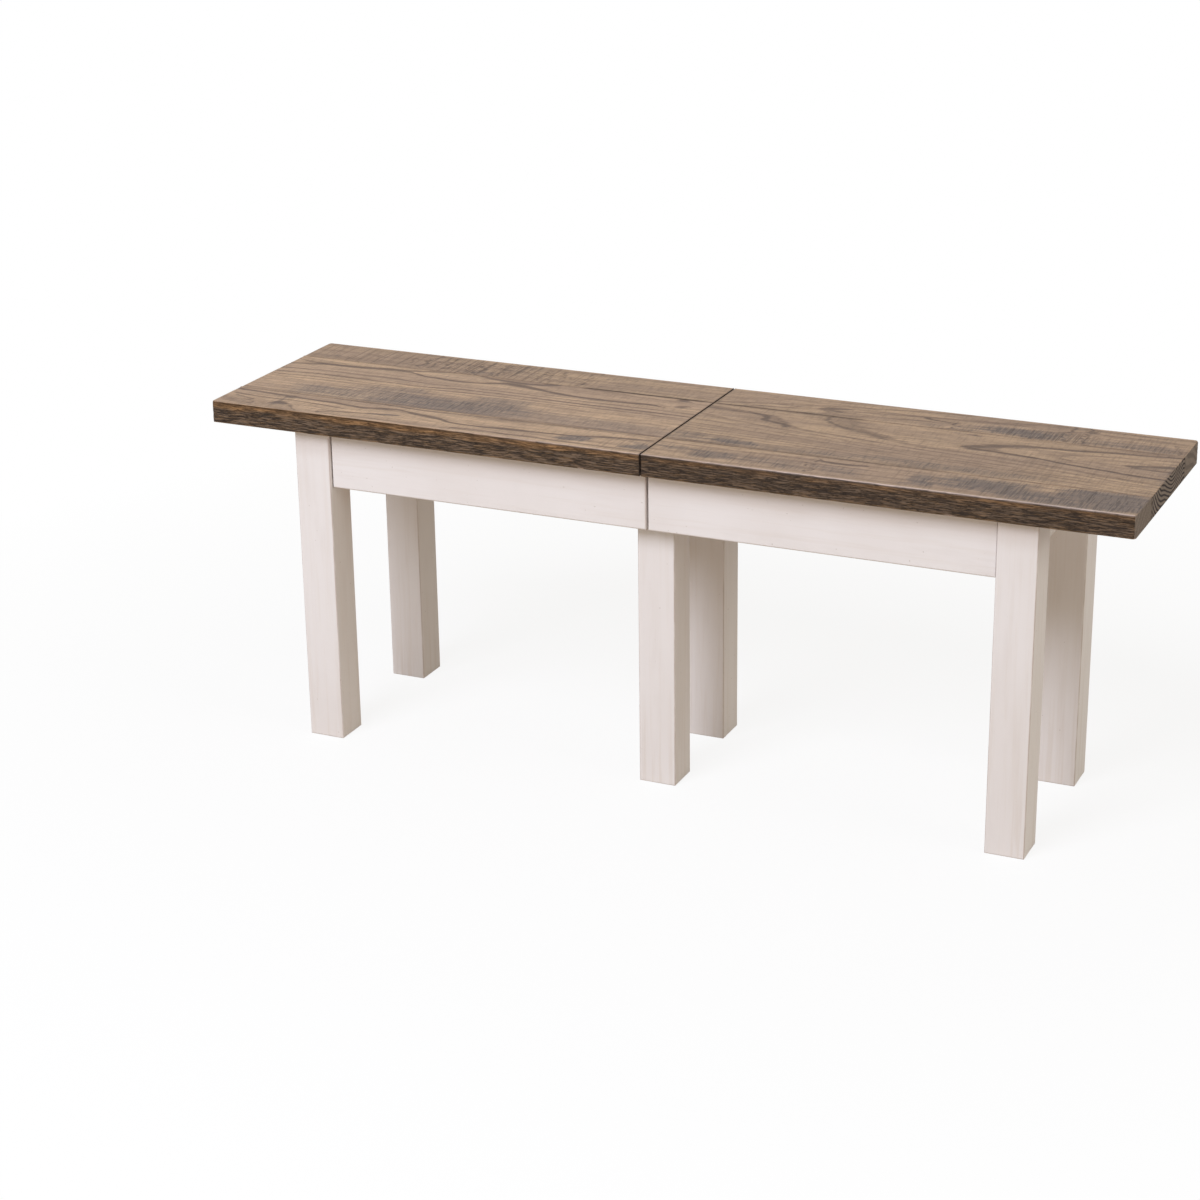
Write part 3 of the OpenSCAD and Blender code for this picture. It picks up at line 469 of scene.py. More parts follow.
# Figure of each board. A line is (ring, darkness, width, points): the growth ring that it follows, or
# None for a mark that lies across the grain, and points (x, y) or (x, y, weight) along it.
# A patch is (x, y, half length, half width, amount), and a knot is (x, y, radius, darkness).
BOARDS = {
    "left_middle_board": {
        "body": "left_half", "tone": 1.1, "stain": 0.0, "arcs": 0.5, "pith": -60, "pitch": 8,
        "lines": (
            (9, 0.35, 4, ((-612, 72), (-588, 61), (-560, 58))),
            (9, 0.5, 4, ((-612, 38), (-590, 47), (-566, 52), (-532, 57))),
            (9, 0.75, 4.8, ((-566, 56), (-532, 58), (-492, 61), (-462, 65), (-436, 66), (-420, 60, 0.8))),
            (9, 0.72, 3.2, ((-420, 60), (-404, 53), (-388, 50), (-340, 48), (-324, 51), (-308, 59, 1.5),
                            (-290, 62, 1.7), (-270, 60, 1.8), (-250, 55, 1.4), (-212, 45), (-180, 41),
                            (-148, 39), (-100, 40), (-66, 43), (-50, 37, 0.7))),
            (8, 0.55, 3.5, ((-436, 66, 1.4), (-412, 73), (-390, 80), (-372, 84))),
            (8, 0.55, 4, ((-336, 84), (-322, 78), (-302, 72), (-276, 70, 1.2), (-258, 70),
                          (-234, 76, 1.3), (-208, 83))),
            (11, 0.34, 3.2, ((-612, 18), (-588, 24), (-560, 27), (-512, 28, 1.3), (-432, 27, 1.3),
                             (-404, 24), (-372, 22), (-340, 25), (-300, 27), (-172, 25), (-52, 24),
                             (2, 24))),
            (12, 0.4, 3.2, ((-612, 4), (-572, 9), (-512, 10, 1.3), (-452, 10), (-404, 7), (-372, 8),
                            (-340, 14), (-292, 15), (-212, 14), (-92, 12), (2, 11))),
            (13, 0.32, 2.8, ((-612, -9), (-552, -4), (-452, -4), (-388, -3), (-332, 2), (-252, 3),
                             (-132, 2), (2, 1))),
            (15, 0.2, 2.8, ((-612, -25), (-400, -18), (-200, -14), (2, -13))),
            (17, 0.15, 2, ((-612, -46), (-300, -40), (2, -38))),
            (20, 0.3, 3, ((-612, -76), (-300, -79), (2, -79))),
        ),
        "smoke": ((-320, -54, 145, 30, 0.75), (-420, -34, 60, 26, 0.5), (-380, -14, 28, 14, 0.5),
                  (-250, -28, 44, 26, 0.6), (-485, -58, 70, 24, 0.6), (-110, -60, 130, 24, 0.42),
                  (-40, -30, 60, 40, 0.08), (-355, 68, 44, 9, 0.25)),
        "saw": ((-330, -45, 160, 36, 0.6), (-100, -45, 110, 34, 0.12)),
        "knots": ((-36, 75, 5, 0.8), (-28, 49, 6, 0.6)),
    },
    "left_front_board": {
        "body": "left_half", "tone": 1.05, "stain": 0.0, "arcs": 0.5, "pith": 26, "pitch": 7,
        "lines": (
            (9, 0.5, 2, ((-470, -84), (-380, -86), (-340, -89), (-280, -88), (-220, -86), (-100, -84))),
            (8, 0.6, 3.2, ((-612, -88), (-588, -91), (-552, -94), (-520, -97), (-484, -99), (-452, -101),
                           (-428, -105), (-404, -107, 1.3), (-382, -103), (-362, -99), (-344, -104, 1.3),
                           (-324, -109, 1.5), (-300, -113, 1.6), (-280, -120), (-260, -125),
                           (-232, -125, 1.3), (-192, -122, 1.3), (-160, -120), (-108, -116), (-84, -110),
                           (-60, -104), (-30, -101), (2, -100))),
            (7, 0.45, 2.8, ((-604, -108), (-572, -112), (-540, -113), (-508, -111), (-476, -115),
                            (-430, -120))),
            (6, 0.5, 3, ((-450, -146), (-440, -138), (-420, -133), (-392, -129), (-372, -124, 1.5),
                         (-354, -124))),
            (5, 0.4, 3, ((-590, -116), (-572, -126), (-560, -136), (-554, -148))),
            (5, 0.4, 3, ((-514, -122), (-500, -136), (-486, -150))),
            (6, 0.42, 2.8, ((-276, -148), (-260, -140), (-232, -139), (-192, -141), (-164, -140),
                            (-100, -142), (2, -144))),
            (9.6, 0.2, 2, ((-612, -82), (2, -82))),
        ),
        "smoke": ((-98, -126, 26, 11, 0.85), (-20, -126, 15, 13, 0.75), (-522, -118, 7, 26, 0.4),
                  (-372, -124, 15, 5, 0.5), (-590, -130, 26, 18, 0.15), (-250, -132, 60, 10, 0.1)),
        "saw": ((-30, -125, 30, 26, 0.5), (-100, -126, 34, 18, 0.4), (-520, -118, 20, 30, 0.4)),
        "knots": ((-520, -98, 5, 0.7), (-518, -127, 7, 0.85)),
    },
    "left_back_board": {
        "body": "left_half", "tone": 0.96, "stain": 0.0, "arcs": 0.5, "pith": -70, "pitch": 9,
        "lines": (
            (9, 0.14, 4, ((-612, 145), (-300, 141), (2, 146))),
            (10, 0.16, 4, ((-612, 122), (-500, 118), (-400, 123), (-200, 117), (2, 121))),
            (11, 0.12, 4, ((-612, 95), (-300, 99), (2, 93))),
            (None, 0.5, 2.2, ((-193, 154), (-194, 86))), (None, 0.45, 2, ((-220, 120), (-221, 86))),
            (None, 0.5, 2.4, ((-233, 140), (-235, 86))), (None, 0.5, 2.4, ((-255, 136), (-257, 86))),
            (None, 0.45, 2.4, ((-311, 154), (-314, 86))), (None, 0.5, 2.4, ((-322, 140), (-324, 86))),
            (None, 0.5, 3, ((-346, 140), (-349, 84))), (None, 0.4, 3, ((-369, 126), (-371, 84))),
            (None, 0.45, 2.4, ((-401, 148), (-403, 86))), (None, 0.4, 2.6, ((-419, 124), (-421, 86))),
            (None, 0.45, 3, ((-430, 150), (-433, 86))), (None, 0.35, 3, ((-452, 130), (-455, 90))),
            (None, 0.3, 2.4, ((-505, 120), (-508, 86))), (None, 0.3, 2.4, ((-548, 124), (-551, 88))),
        ),
        "smoke": ((-345, 96, 18, 12, 0.35), (-290, 126, 40, 20, 0.3), (-480, 100, 60, 16, 0.15),
                  (-565, 100, 6, 9, 0.45), (-160, 98, 5, 8, 0.45), (-166, 131, 9, 6, 0.35),
                  (-100, 118, 80, 26, 0.22)),
        "saw": ((-320, 115, 135, 42, 0.9), (-510, 116, 110, 40, 0.55), (-90, 118, 90, 36, 0.15)),
        "knots": (),
    },
    "right_middle_board": {
        "body": "right_half", "tone": 0.94, "stain": 0.0, "arcs": 1.0, "pith": 40, "pitch": 5.5,
        "lines": (
            (6, 0.55, 5, ((612, 34), (586, 30), (566, 25), (552, 20))),
            (6, 0.45, 4, ((552, 20), (570, 16), (612, 14))),
            (9, 0.45, 3.5, ((612, 74), (558, 68, 0.8), (518, 63, 1.4), (478, 57, 1.2), (442, 53, 1.2),
                            (416, 49, 2), (392, 40, 2.4), (370, 30, 2.4), (354, 23, 1.6))),
            (9, 0.62, 3, ((354, 23, 2), (366, 18, 1.6), (390, 16), (422, 13), (450, 9), (470, 3),
                          (502, -3), (534, -8), (578, -14), (612, -17))),
            (10, 0.4, 5.5, ((158, 84), (164, 64), (174, 50), (190, 40), (214, 34, 1.2), (234, 27, 1.2),
                            (254, 16, 0.9))),
            (10, 0.3, 2.4, ((254, 16, 1.3), (278, 7), (310, 2), (350, -2), (390, -5), (430, -10),
                            (470, -15), (518, -24), (558, -32), (612, -38))),
            (11, 0.35, 3, ((-4, 62), (34, 60), (66, 57))),
            (11, 0.56, 5, ((62, 58, 0.6), (80, 54), (88, 48), (98, 36), (110, 28), (126, 16, 0.6))),
            (11, 0.24, 2.8, ((126, 16, 1.2), (158, 11), (190, 7), (222, 2), (278, -6), (338, -12),
                             (390, -17), (438, -23), (498, -32), (560, -42), (612, -49))),
            (12, 0.22, 3, ((-4, 32, 1.6), (18, 27, 1.4), (34, 22), (78, 13), (118, 6), (166, 0),
                           (222, -10), (270, -18), (318, -26), (378, -30), (438, -36), (498, -44),
                           (612, -58))),
            (13, 0.22, 2.8, ((-4, 10), (38, 4), (98, -5), (158, -13), (218, -19), (278, -24), (340, -32),
                             (440, -42), (612, -66))),
            (14, 0.28, 2.8, ((-4, -8), (58, -14), (118, -20), (178, -24), (238, -32), (318, -40),
                             (398, -46), (498, -54), (612, -74))),
            (16, 0.25, 2.8, ((-4, -26), (118, -30), (238, -38), (400, -56), (560, -70), (612, -80))),
            (18, 0.2, 2.8, ((-4, -46), (118, -50), (278, -61), (440, -71))),
            (20, 0.2, 2.4, ((-4, -64), (118, -68), (300, -76))),
            (21, 0.35, 2, ((-4, -78), (180, -77), (360, -79))),
        ),
        "smoke": ((84, -65, 36, 12, 0.85), (20, -60, 34, 14, 0.5), (150, -70, 150, 13, 0.42),
                  (606, 0, 9, 60, 0.4), (590, 24, 26, 7, 0.35), (350, -66, 140, 14, 0.5),
                  (344, 71, 6, 5, 0.4), (505, -50, 10, 30, 0.15), (320, 40, 40, 24, 0.25)),
        "saw": ((480, -20, 130, 60, 0.25), (60, -60, 80, 20, 0.2)),
        "knots": ((352, 71, 4, 0.45),),
    },
    "right_front_board": {
        "body": "right_half", "tone": 0.98, "stain": 0.17, "arcs": 0.2, "pith": -60, "pitch": 8,
        "lines": (
            (8, 0.15, 2, ((-4, -84), (300, -83), (612, -84))),
            (9, 0.2, 2.4, ((-4, -97), (120, -99), (300, -96), (612, -98))),
            (9, 0.55, 3, ((216, -98), (240, -100, 1.4), (262, -98, 1.4), (276, -95))),
            (10, 0.15, 3, ((-4, -112), (200, -110), (400, -113), (612, -109))),
            (11, 0.15, 3, ((-4, -128), (200, -130), (400, -127), (612, -126))),
            (12, 0.2, 3, ((-4, -146), (300, -145), (612, -147))),
            (None, 0.5, 2.6, ((208, -91), (209, -144))), (None, 0.35, 2.4, ((454, -90), (455, -140))),
            (None, 0.3, 2.4, ((500, -92), (501, -148))), (None, 0.3, 2.4, ((328, -108), (329, -146))),
        ),
        "smoke": ((26, -113, 16, 14, 0.5), (80, -122, 44, 18, 0.65), (160, -126, 50, 16, 0.5),
                  (246, -124, 34, 16, 0.5), (345, -120, 22, 24, 0.7), (420, -112, 60, 24, 0.8),
                  (480, -128, 60, 18, 0.75), (560, -106, 52, 22, 1.0), (588, -122, 44, 32, 1.0),
                  (380, -96, 20, 8, 0.4), (520, -136, 90, 22, 0.7)),
        "saw": ((430, -118, 110, 32, 0.6), (570, -116, 60, 34, 0.6), (110, -122, 110, 26, 0.5)),
        "knots": ((540, -91, 4, 0.5),),
    },
    "right_back_board": {
        "body": "right_half", "tone": 0.97, "stain": 0.03, "arcs": 0.35, "pith": 30, "pitch": 8,
        "lines": (
            (6, 0.3, 3, ((-4, 88), (40, 98), (90, 110), (140, 121), (190, 131), (260, 142), (330, 150))),
            (7, 0.3, 3, ((60, 92), (100, 97), (150, 106), (200, 113), (260, 121), (320, 127),
                         (400, 132))),
            (8, 0.4, 4, ((170, 119), (150, 114, 1.3), (133, 109), (150, 105), (168, 102))),
            (8, 0.3, 2.6, ((170, 90), (230, 100), (280, 105), (330, 108))),
            (7, 0.6, 2.4, ((276, 121), (288, 115), (302, 112), (318, 110))),
            (8, 0.2, 3, ((480, 132), (520, 127), (560, 129), (612, 126))),
            (7, 0.2, 3, ((430, 146), (480, 143), (540, 141), (612, 144))),
            (9, 0.2, 3, ((400, 88), (500, 90), (612, 93))),
            (None, 0.75, 2.6, ((319, 113), (320, 84))), (None, 0.55, 2.4, ((456, 154), (458, 84))),
            (None, 0.55, 2.4, ((476, 154), (479, 84))), (None, 0.4, 2.2, ((598, 122), (599, 84))),
            (None, 0.35, 2, ((412, 132), (418, 108))), (None, 0.4, 2, ((358, 130), (366, 112))),
            (None, 0.35, 2, ((372, 130), (380, 114))), (None, 0.3, 2, ((386, 130), (394, 116))),
            (None, 0.35, 2.2, ((496, 118), (497, 86))), (None, 0.3, 2.2, ((530, 118), (531, 86))),
        ),
        "smoke": ((400, 101, 62, 16, 0.9), (440, 106, 30, 18, 0.6), (530, 97, 80, 16, 0.5),
                  (284, 93, 18, 7, 0.4), (460, 146, 40, 8, 0.25), (340, 92, 30, 8, 0.4),
                  (565, 132, 50, 16, 0.2)),
        "saw": ((430, 102, 90, 22, 0.9), (560, 104, 60, 24, 0.5), (360, 120, 30, 16, 0.5)),
        "knots": ((482, 136, 6, 0.5),),
    },
}

# Dark lines in the glue joints: Y of the joint, start, end and how dark
JOINTS = ((82, -195, 0, 1.0), (82, -20, 218, 0.75), (82, -612, 612, 0.2), (-82, -5, 370, 0.5),
          (-82, -612, 612, 0.15))


def grid_lines(low, high, step, low_r, high_r):
    """Places from low to high, closer over the eased edges at both ends."""
    share = 1 - np.tan(np.linspace(math.pi / 4, 0, ARC_STEPS + 1))
    start = low + low_r * share
    stop = high - high_r * share[::-1]
    count = round((stop[0] - start[-1]) / step)
    return np.concatenate([start[:-1], np.linspace(start[-1], stop[0], count + 1), stop[1:]])


def box_shell(xs, ys, zs):
    """Points and faces of a closed box with a grid on each side."""
    outside = np.zeros((len(xs), len(ys), len(zs)), bool)
    for axis, end in itertools.product(range(3), (0, -1)):
        outside[tuple(end if a == axis else slice(None) for a in range(3))] = True
    index = np.full(outside.shape, -1)
    index[outside] = np.arange(outside.sum())
    i, j, k = np.nonzero(outside)
    faces = []
    for axis, end in itertools.product(range(3), (0, -1)):
        side = index.take(end, axis)
        quads = np.stack([side[:-1, :-1], side[1:, :-1], side[1:, 1:], side[:-1, 1:]], -1).reshape(-1, 4)
        outward = (end == -1) != (axis == 1)
        faces.append(quads if outward else quads[:, ::-1])
    return np.stack([xs[i], ys[j], zs[k]], 1), np.concatenate(faces)


def value_noise(points, seed):
    """Smooth noise from -1 to 1 with one feature a unit."""
    cell = np.floor(points).astype(np.int64)
    part = points - cell
    part = part * part * (3 - 2 * part)
    total = np.zeros(len(points))
    for corner in itertools.product((0, 1), repeat=3):
        at = cell + corner
        key = at[:, 0] * 73856093 ^ at[:, 1] * 19349663 ^ at[:, 2] * 83492791 ^ seed * 2654435761
        key = (key ^ (key >> 13)) * 1274126177 & 0xffffffff
        value = (key ^ (key >> 16)) & 0xffff
        total += value * np.prod(np.where(corner, part, 1 - part), axis=1)
    return total / 0x7fff - 1


def smoothstep(value, low, high):
    """0 up to low, 1 from high on, smooth between."""
    t = np.clip((value - low) / (high - low), 0, 1)
    return t * t * (3 - 2 * t)


def smooth_path(points):
    """Points about PATH_STEP apart on a smooth curve through the given ones, with their weights."""
    given = np.array([(*p, 1.0)[:3] for p in points], float)
    p = np.vstack([2 * given[0] - given[1], given, 2 * given[-1] - given[-2]])
    pieces = []
    for a, b, c, d in zip(p, p[1:], p[2:], p[3:]):
        count = max(2, int(np.hypot(*(c - b)[:2]) / PATH_STEP))
        t = np.linspace(0, 1, count, endpoint=False)[:, None]
        pieces.append((2 * b + (c - a) * t + (2 * a - 5 * b + 4 * c - d) * t ** 2
                       + (3 * b - a - 3 * c + d) * t ** 3) / 2)
    return np.vstack(pieces)


def stroke(places, darkness, width, points):
    """How dark a drawn line makes each place."""
    path = smooth_path(points)
    apart = places[:, None, :] - path[None, :, :2]
    reach = np.hypot(apart[..., 0], apart[..., 1]) / (width * path[:, 2])
    return darkness * np.exp(-reach.min(axis=1) ** 2)


def patches(places, shapes):
    """Soft-edged patches, the strongest at each place."""
    found = np.zeros(len(places))
    for x, y, half_x, half_y, amount in shapes:
        reach = ((places[:, 0] - x) / half_x) ** 4 + ((places[:, 1] - y) / half_y) ** 4
        found = np.maximum(found, amount * np.exp(-reach))
    return found


def ring_field(places, lines):
    """Growth ring at each place, from the lines that follow a known ring."""
    known = [(x, y, ring) for ring, _, _, points in lines if ring is not None
             for x, y in (p[:2] for p in points)]
    known = np.array(known, float) * (1 / GRAIN_STRETCH, 1, 1)
    spots = places * (1 / GRAIN_STRETCH, 1)
    count = len(known)
    plane = np.hstack([np.ones((count, 1)), known[:, :2]])
    system = np.zeros((count + 3, count + 3))
    system[:count, :count] = np.linalg.norm(known[:, None, :2] - known[None, :, :2], axis=2)
    system[:count, count:] = plane
    system[count:, :count] = plane.T
    slack = np.diag([-RING_SLACK] * count + [0] * 3)
    weights = np.linalg.solve(system + slack, np.append(known[:, 2], [0] * 3))
    apart = np.linalg.norm(spots[:, None, :] - known[None, :, :2], axis=2)
    return apart @ weights[:count] + np.hstack([np.ones((len(spots), 1)), spots]) @ weights[count:]


def ease(points, low, high, radius_x, radius_y, corner):
    """Rounds the upright corner nearest to each point and the edges above and below, pushing inwards."""
    centre = (low + high) / 2
    sign = np.where(points < centre, -1.0, 1.0)
    far = np.where(points < centre, low, high)
    inset = (far - points) * sign
    to_x, to_y, to_z = inset.T
    ended = to_x <= to_y
    radius = np.where(ended, radius_x, radius_y)
    level = np.where(ended, to_x, to_y)
    u, v = radius - level, radius - to_z
    rounded = (u > 0) & (v > 0)
    share = np.where(rounded, np.maximum(u, v) / np.maximum(np.hypot(u, v), 1e-9), 1.0)
    new_level = np.where(rounded, radius - u * share, level)
    new_z = np.where(rounded, radius - v * share, to_z)
    cu, cv = corner - to_x, corner - to_y
    cornered = (cu > 0) & (cv > 0)
    span = np.maximum(np.hypot(cu, cv), 1e-9)
    new_x = np.where(cornered, corner - cu / span * (corner - new_level), np.where(ended, new_level, to_x))
    new_y = np.where(cornered, corner - cv / span * (corner - new_level), np.where(ended, to_y, new_level))
    return far - sign * np.stack([new_x, new_y, new_z], 1)


def side_radii(low, high):
    """Edge radius at the low and high end along X and along Y: wide outside, narrow at a joint."""
    def radius(place, outer, wide):
        return wide if abs(abs(place) - outer) < 1 else SEAM_R
    outer_x, outer_y = (c / MM for c in CAD_BOX[1][:2])
    return ([radius(low[0], outer_x, END_R), radius(high[0], outer_x, END_R)],
            [radius(low[1], outer_y, LONG_R), radius(high[1], outer_y, LONG_R)])


def board_shell(low, high, seed):
    """Closed board mesh with unevenly eased edges, in millimetres."""
    ends, sides = side_radii(low, high)
    points, faces = box_shell(grid_lines(low[0], high[0], STEP_X, *ends),
                              grid_lines(low[1], high[1], STEP_Y, *sides),
                              grid_lines(low[2], high[2], STEP_Z, LONG_R * LOWER_SHARE, LONG_R))
    centre = (low + high) / 2
    radius_x = np.where(points[:, 0] < centre[0], *ends)
    radius_y = np.where(points[:, 1] < centre[1], *sides)
    corner = np.where(np.minimum(radius_x, radius_y) > SEAM_R, CORNER_R, SEAM_R)
    wear = 1 + EDGE_WEAR * np.maximum(value_noise(points / (26, 26, 60), seed), 0)
    wear = wear * np.where(points[:, 2] < centre[2], LOWER_SHARE, 1)
    return ease(points, low, high, radius_x * wear, radius_y * wear, corner), faces


def new_object(name, points, faces, material):
    """Smooth mesh object from points in millimetres."""
    mesh = bpy.data.meshes.new(name)
    mesh.from_pydata((points * MM).tolist(), [], faces.tolist())
    mesh.materials.append(MATERIALS[material])
    mesh.shade_smooth()
    made = bpy.data.objects.new(name, mesh)
    bpy.context.scene.collection.objects.link(made)
    return made


def read_mesh(mesh):
    """Points in millimetres and normals of a mesh."""
    co = np.empty(len(mesh.vertices) * 3)
    mesh.vertices.foreach_get("co", co)
    normal = np.empty(len(mesh.vertices) * 3)
    mesh.vertex_normals.foreach_get("vector", normal)
    return co.reshape(-1, 3) / MM, normal.reshape(-1, 3)


def board_marks(points, spec, top):
    """Drawn lines, smoke, saw marks and knots near the top face, each from 0 to 1."""
    marks = {key: np.zeros(len(points)) for key in ("band", "smoke", "saw", "knot")}
    near = points[:, 2] > top - MARK_DEPTH
    places = points[near, :2]
    wander = np.stack([value_noise(points[near] / WANDER_FEATURE, draw) for draw in (7, 8)], 1)
    feather = value_noise(points[near] / FEATHER_FEATURE, 6)[:, None]
    places = places + wander * WANDER + feather * FEATHER
    for _, darkness, width, line in spec["lines"]:
        marks["band"][near] = np.maximum(marks["band"][near], stroke(places, darkness, width, line))
    marks["smoke"][near] = patches(places + wander * SMOKE_WANDER, spec["smoke"])
    marks["saw"][near] = patches(places, spec["saw"])
    for x, y, radius, darkness in spec["knots"]:
        reach = np.hypot((places[:, 0] - x) / KNOT_STRETCH, places[:, 1] - y) / radius
        marks["knot"][near] = np.maximum(marks["knot"][near], darkness * np.exp(-reach ** 2))
    return marks


def joint_marks(points):
    """Stain gathered in the glue joints, and painted shade in the gap at the split."""
    found = np.zeros(len(points))
    uneven = 0.9 + 0.1 * value_noise(points / (14, 200, 200), 5)
    for y, start, stop, amount in JOINTS:
        begun = smoothstep(points[:, 0], start, start + JOINT_FADE)
        ended = smoothstep(points[:, 0], stop - JOINT_FADE, stop)
        along = begun * (1 - ended)
        found = np.maximum(found, amount * along * np.exp(-((points[:, 1] - y) / JOINT_REACH) ** 2))
    # Painted shade on the board ends in the gap at the split
    to_split = np.maximum(np.abs(points[:, 0]) - SPLIT_FACE, 0)
    return np.maximum(found * uneven, SPLIT_SHADE * np.exp(-(to_split / SPLIT_REACH) ** 2))


def arris_marks(points, normals, top):
    """Rubbed line on the front arris, worn and with a painted highlight, dark line under it, pale lower
    arris with a painted highlight, and share of depth.
    """
    uneven = 0.65 + 0.35 * value_noise(points / (18, 18, 18), 9)
    front = smoothstep(-points[:, 1], FRONT_Y - RUB_HIGHLIGHT_END, FRONT_Y - RUB_HIGHLIGHT_FULL)
    share = 0.55 * smoothstep(points[:, 0], *RUB_HIGHLIGHT_FIRST) + 0.45 * smoothstep(points[:, 0], *RUB_HIGHLIGHT_SECOND)
    flank = smoothstep(np.abs(normals[:, 1]), 0.4, 0.8)
    depth = np.maximum(top - points[:, 2], 0)
    inset = np.maximum(points[:, 1] + FRONT_Y, 0)
    # Rubbed wear on the front arris, painted lighter as a highlight too
    rubbed_and_lit = np.exp(-(depth / RUB_HIGHLIGHT_DEPTH) ** 2 - (inset / RUB_HIGHLIGHT_INSET) ** 2)
    return {
        "rub_and_highlight": rubbed_and_lit * (0.5 + 0.5 * uneven) * front * share,
        "brow": np.exp(-((depth - BROW_DEPTH) / BROW_REACH) ** 2) * flank * (0.7 + 0.3 * uneven),
        # Pale lower arris: painted highlight with some wear
        "lip": np.exp(-(np.maximum(SEAT_T - depth, 0) / LIP_REACH) ** 2) * flank * uneven,
        "lower": smoothstep(depth, *LOWER_RANGE),
    }


def relief(points, normals, marks, seed):
    """How far the surface lies below the eased box, in millimetres."""
    up = smoothstep(normals[:, 2], 0.5, 0.9)
    flank = 1 - smoothstep(np.abs(normals[:, 2]), 0.3, 0.8)
    planed = PLANED_DEPTH + PLANED_DEPTH * value_noise(points / (60, 4, 60), seed)
    groove = np.maximum(value_noise(points / (5.5, 70, 90), seed + 1), 0)
    top = (planed + SAW_DEPTH * marks["saw"] * groove + KNOT_DEPTH * marks["knot"]
           + BAND_DEPTH * marks["band"])
    hewn = (HEWN_DEPTH + HEWN_COARSE * value_noise(points / (16, 2.6, 2.6), seed + 2)
            + HEWN_FINE * value_noise(points / (7, 2, 2), seed + 3))
    return np.maximum(top * up + hewn * flank + PLANED_DEPTH, 0)


def write_fields(mesh, spec, top, seed):
    """Stores on the mesh what the oak material reads."""
    points, normals = read_mesh(mesh)
    marks = board_marks(points, spec, top)
    depth = top - points[:, 2]
    pith, pitch = spec["pith"], spec["pitch"]
    ring = ring_field(points[:, :2], spec["lines"])
    ring = np.sqrt(np.maximum(ring ** 2 + (2 * pith * depth + depth ** 2) / pitch ** 2, 0.01))
    fields = {
        "ring": ring + 1.5 * marks["knot"],
        "band": np.maximum(marks["band"], marks["knot"]),
        "smoke": marks["smoke"],
        "saw": marks["saw"],
        "side": smoothstep(np.abs(normals[:, 1]), 0.5, 0.85),
        "end": smoothstep(np.abs(normals[:, 0]), 0.5, 0.85),
        "joint": joint_marks(points),
        "arcs": np.full(len(points), spec["arcs"]),
        "stain": np.full(len(points), spec["stain"]),
        "tone": spec["tone"] * (1 + 0.05 * value_noise(points / (90, 30, 60), seed + 6)),
        "board": np.full(len(points), seed * BOARD_SHIFT),
        **arris_marks(points, normals, top),
    }
    for key, values in fields.items():
        attribute = mesh.attributes.new(key, "FLOAT", "POINT")
        attribute.data.foreach_set("value", values.astype(np.float32))


def boxes_meet(a, b):
    """Whether two boxes, each a low and a high corner, share any space."""
    return all(a[0][i] < b[1][i] and b[0][i] < a[1][i] for i in range(3))


def socket_cutters(name):
    """Bars that cut the leaf pins' sockets into a board of the right half."""
    low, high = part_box("alignment_pins")
    radius = (high.z - low.z) / 2
    start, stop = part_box(name)[0].x, high.x + SOCKET_SPARE * MM
    bore = radius + SOCKET_PLAY * MM
    along_x = Matrix.Rotation(math.pi / 2, 4, "Y")
    cutters = []
    for y in (low.y + radius, high.y - radius):
        mesh = bpy.data.meshes.new("socket")
        shape = bmesh.new()
        bmesh.ops.create_cone(shape, cap_ends=True, segments=SOCKET_SIDES, radius1=bore, radius2=bore,
                              depth=2 * (stop - start),
                              matrix=Matrix.Translation((start, y, (low.z + high.z) / 2)) @ along_x)
        shape.to_mesh(mesh)
        shape.free()
        cutter = bpy.data.objects.new("socket", mesh)
        bpy.context.scene.collection.objects.link(cutter)
        cutters.append(cutter)
    return cutters


def cut_holes(board, name, body):
    """Cuts what is screwed or pinned into the board out of its mesh."""
    nodes = frame["nodes"]
    fixed = [nodes[n] for n in sorted(nodes)
             if ("screws" in n or "pins" in n) and nodes[n]["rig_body"] == body
             and boxes_meet(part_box(n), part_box(name))]
    sockets = socket_cutters(name) if body == "right_half" and "middle" not in name else []
    for cutter in fixed + sockets:
        modifier = board.modifiers.new("hole", "BOOLEAN")
        modifier.operation = "DIFFERENCE"
        modifier.object = cutter
    evaluated = board.evaluated_get(bpy.context.evaluated_depsgraph_get())
    cut = bpy.data.meshes.new_from_object(evaluated)
    board.modifiers.clear()
    board.data = cut
    for socket in sockets:
        bpy.data.objects.remove(socket)


def make_board(name, spec, seed):
    """Grained board that shows in place of the plain one, with its holes cut and its fields stored."""
    low, high = (np.array(corner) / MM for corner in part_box(name))
    points, faces = board_shell(low, high, seed)
    board = new_object("grained_" + name, points, faces, "stained_oak")
    points, normals = read_mesh(board.data)
    marks = board_marks(points, spec, high[2])
    sunk = points - normals * relief(points, normals, marks, seed)[:, None]
    board.data.vertices.foreach_set("co", (sunk * MM).ravel())
    cut_holes(board, name, spec["body"])
    board.data.set_sharp_from_angle(angle=math.radians(SHARP_ANGLE))
    write_fields(board.data, spec, high[2], seed)
    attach(board, spec["body"])
    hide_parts(name)


for number, (board_name, board_spec) in enumerate(BOARDS.items()):
    make_board(board_name, board_spec, number + 1)


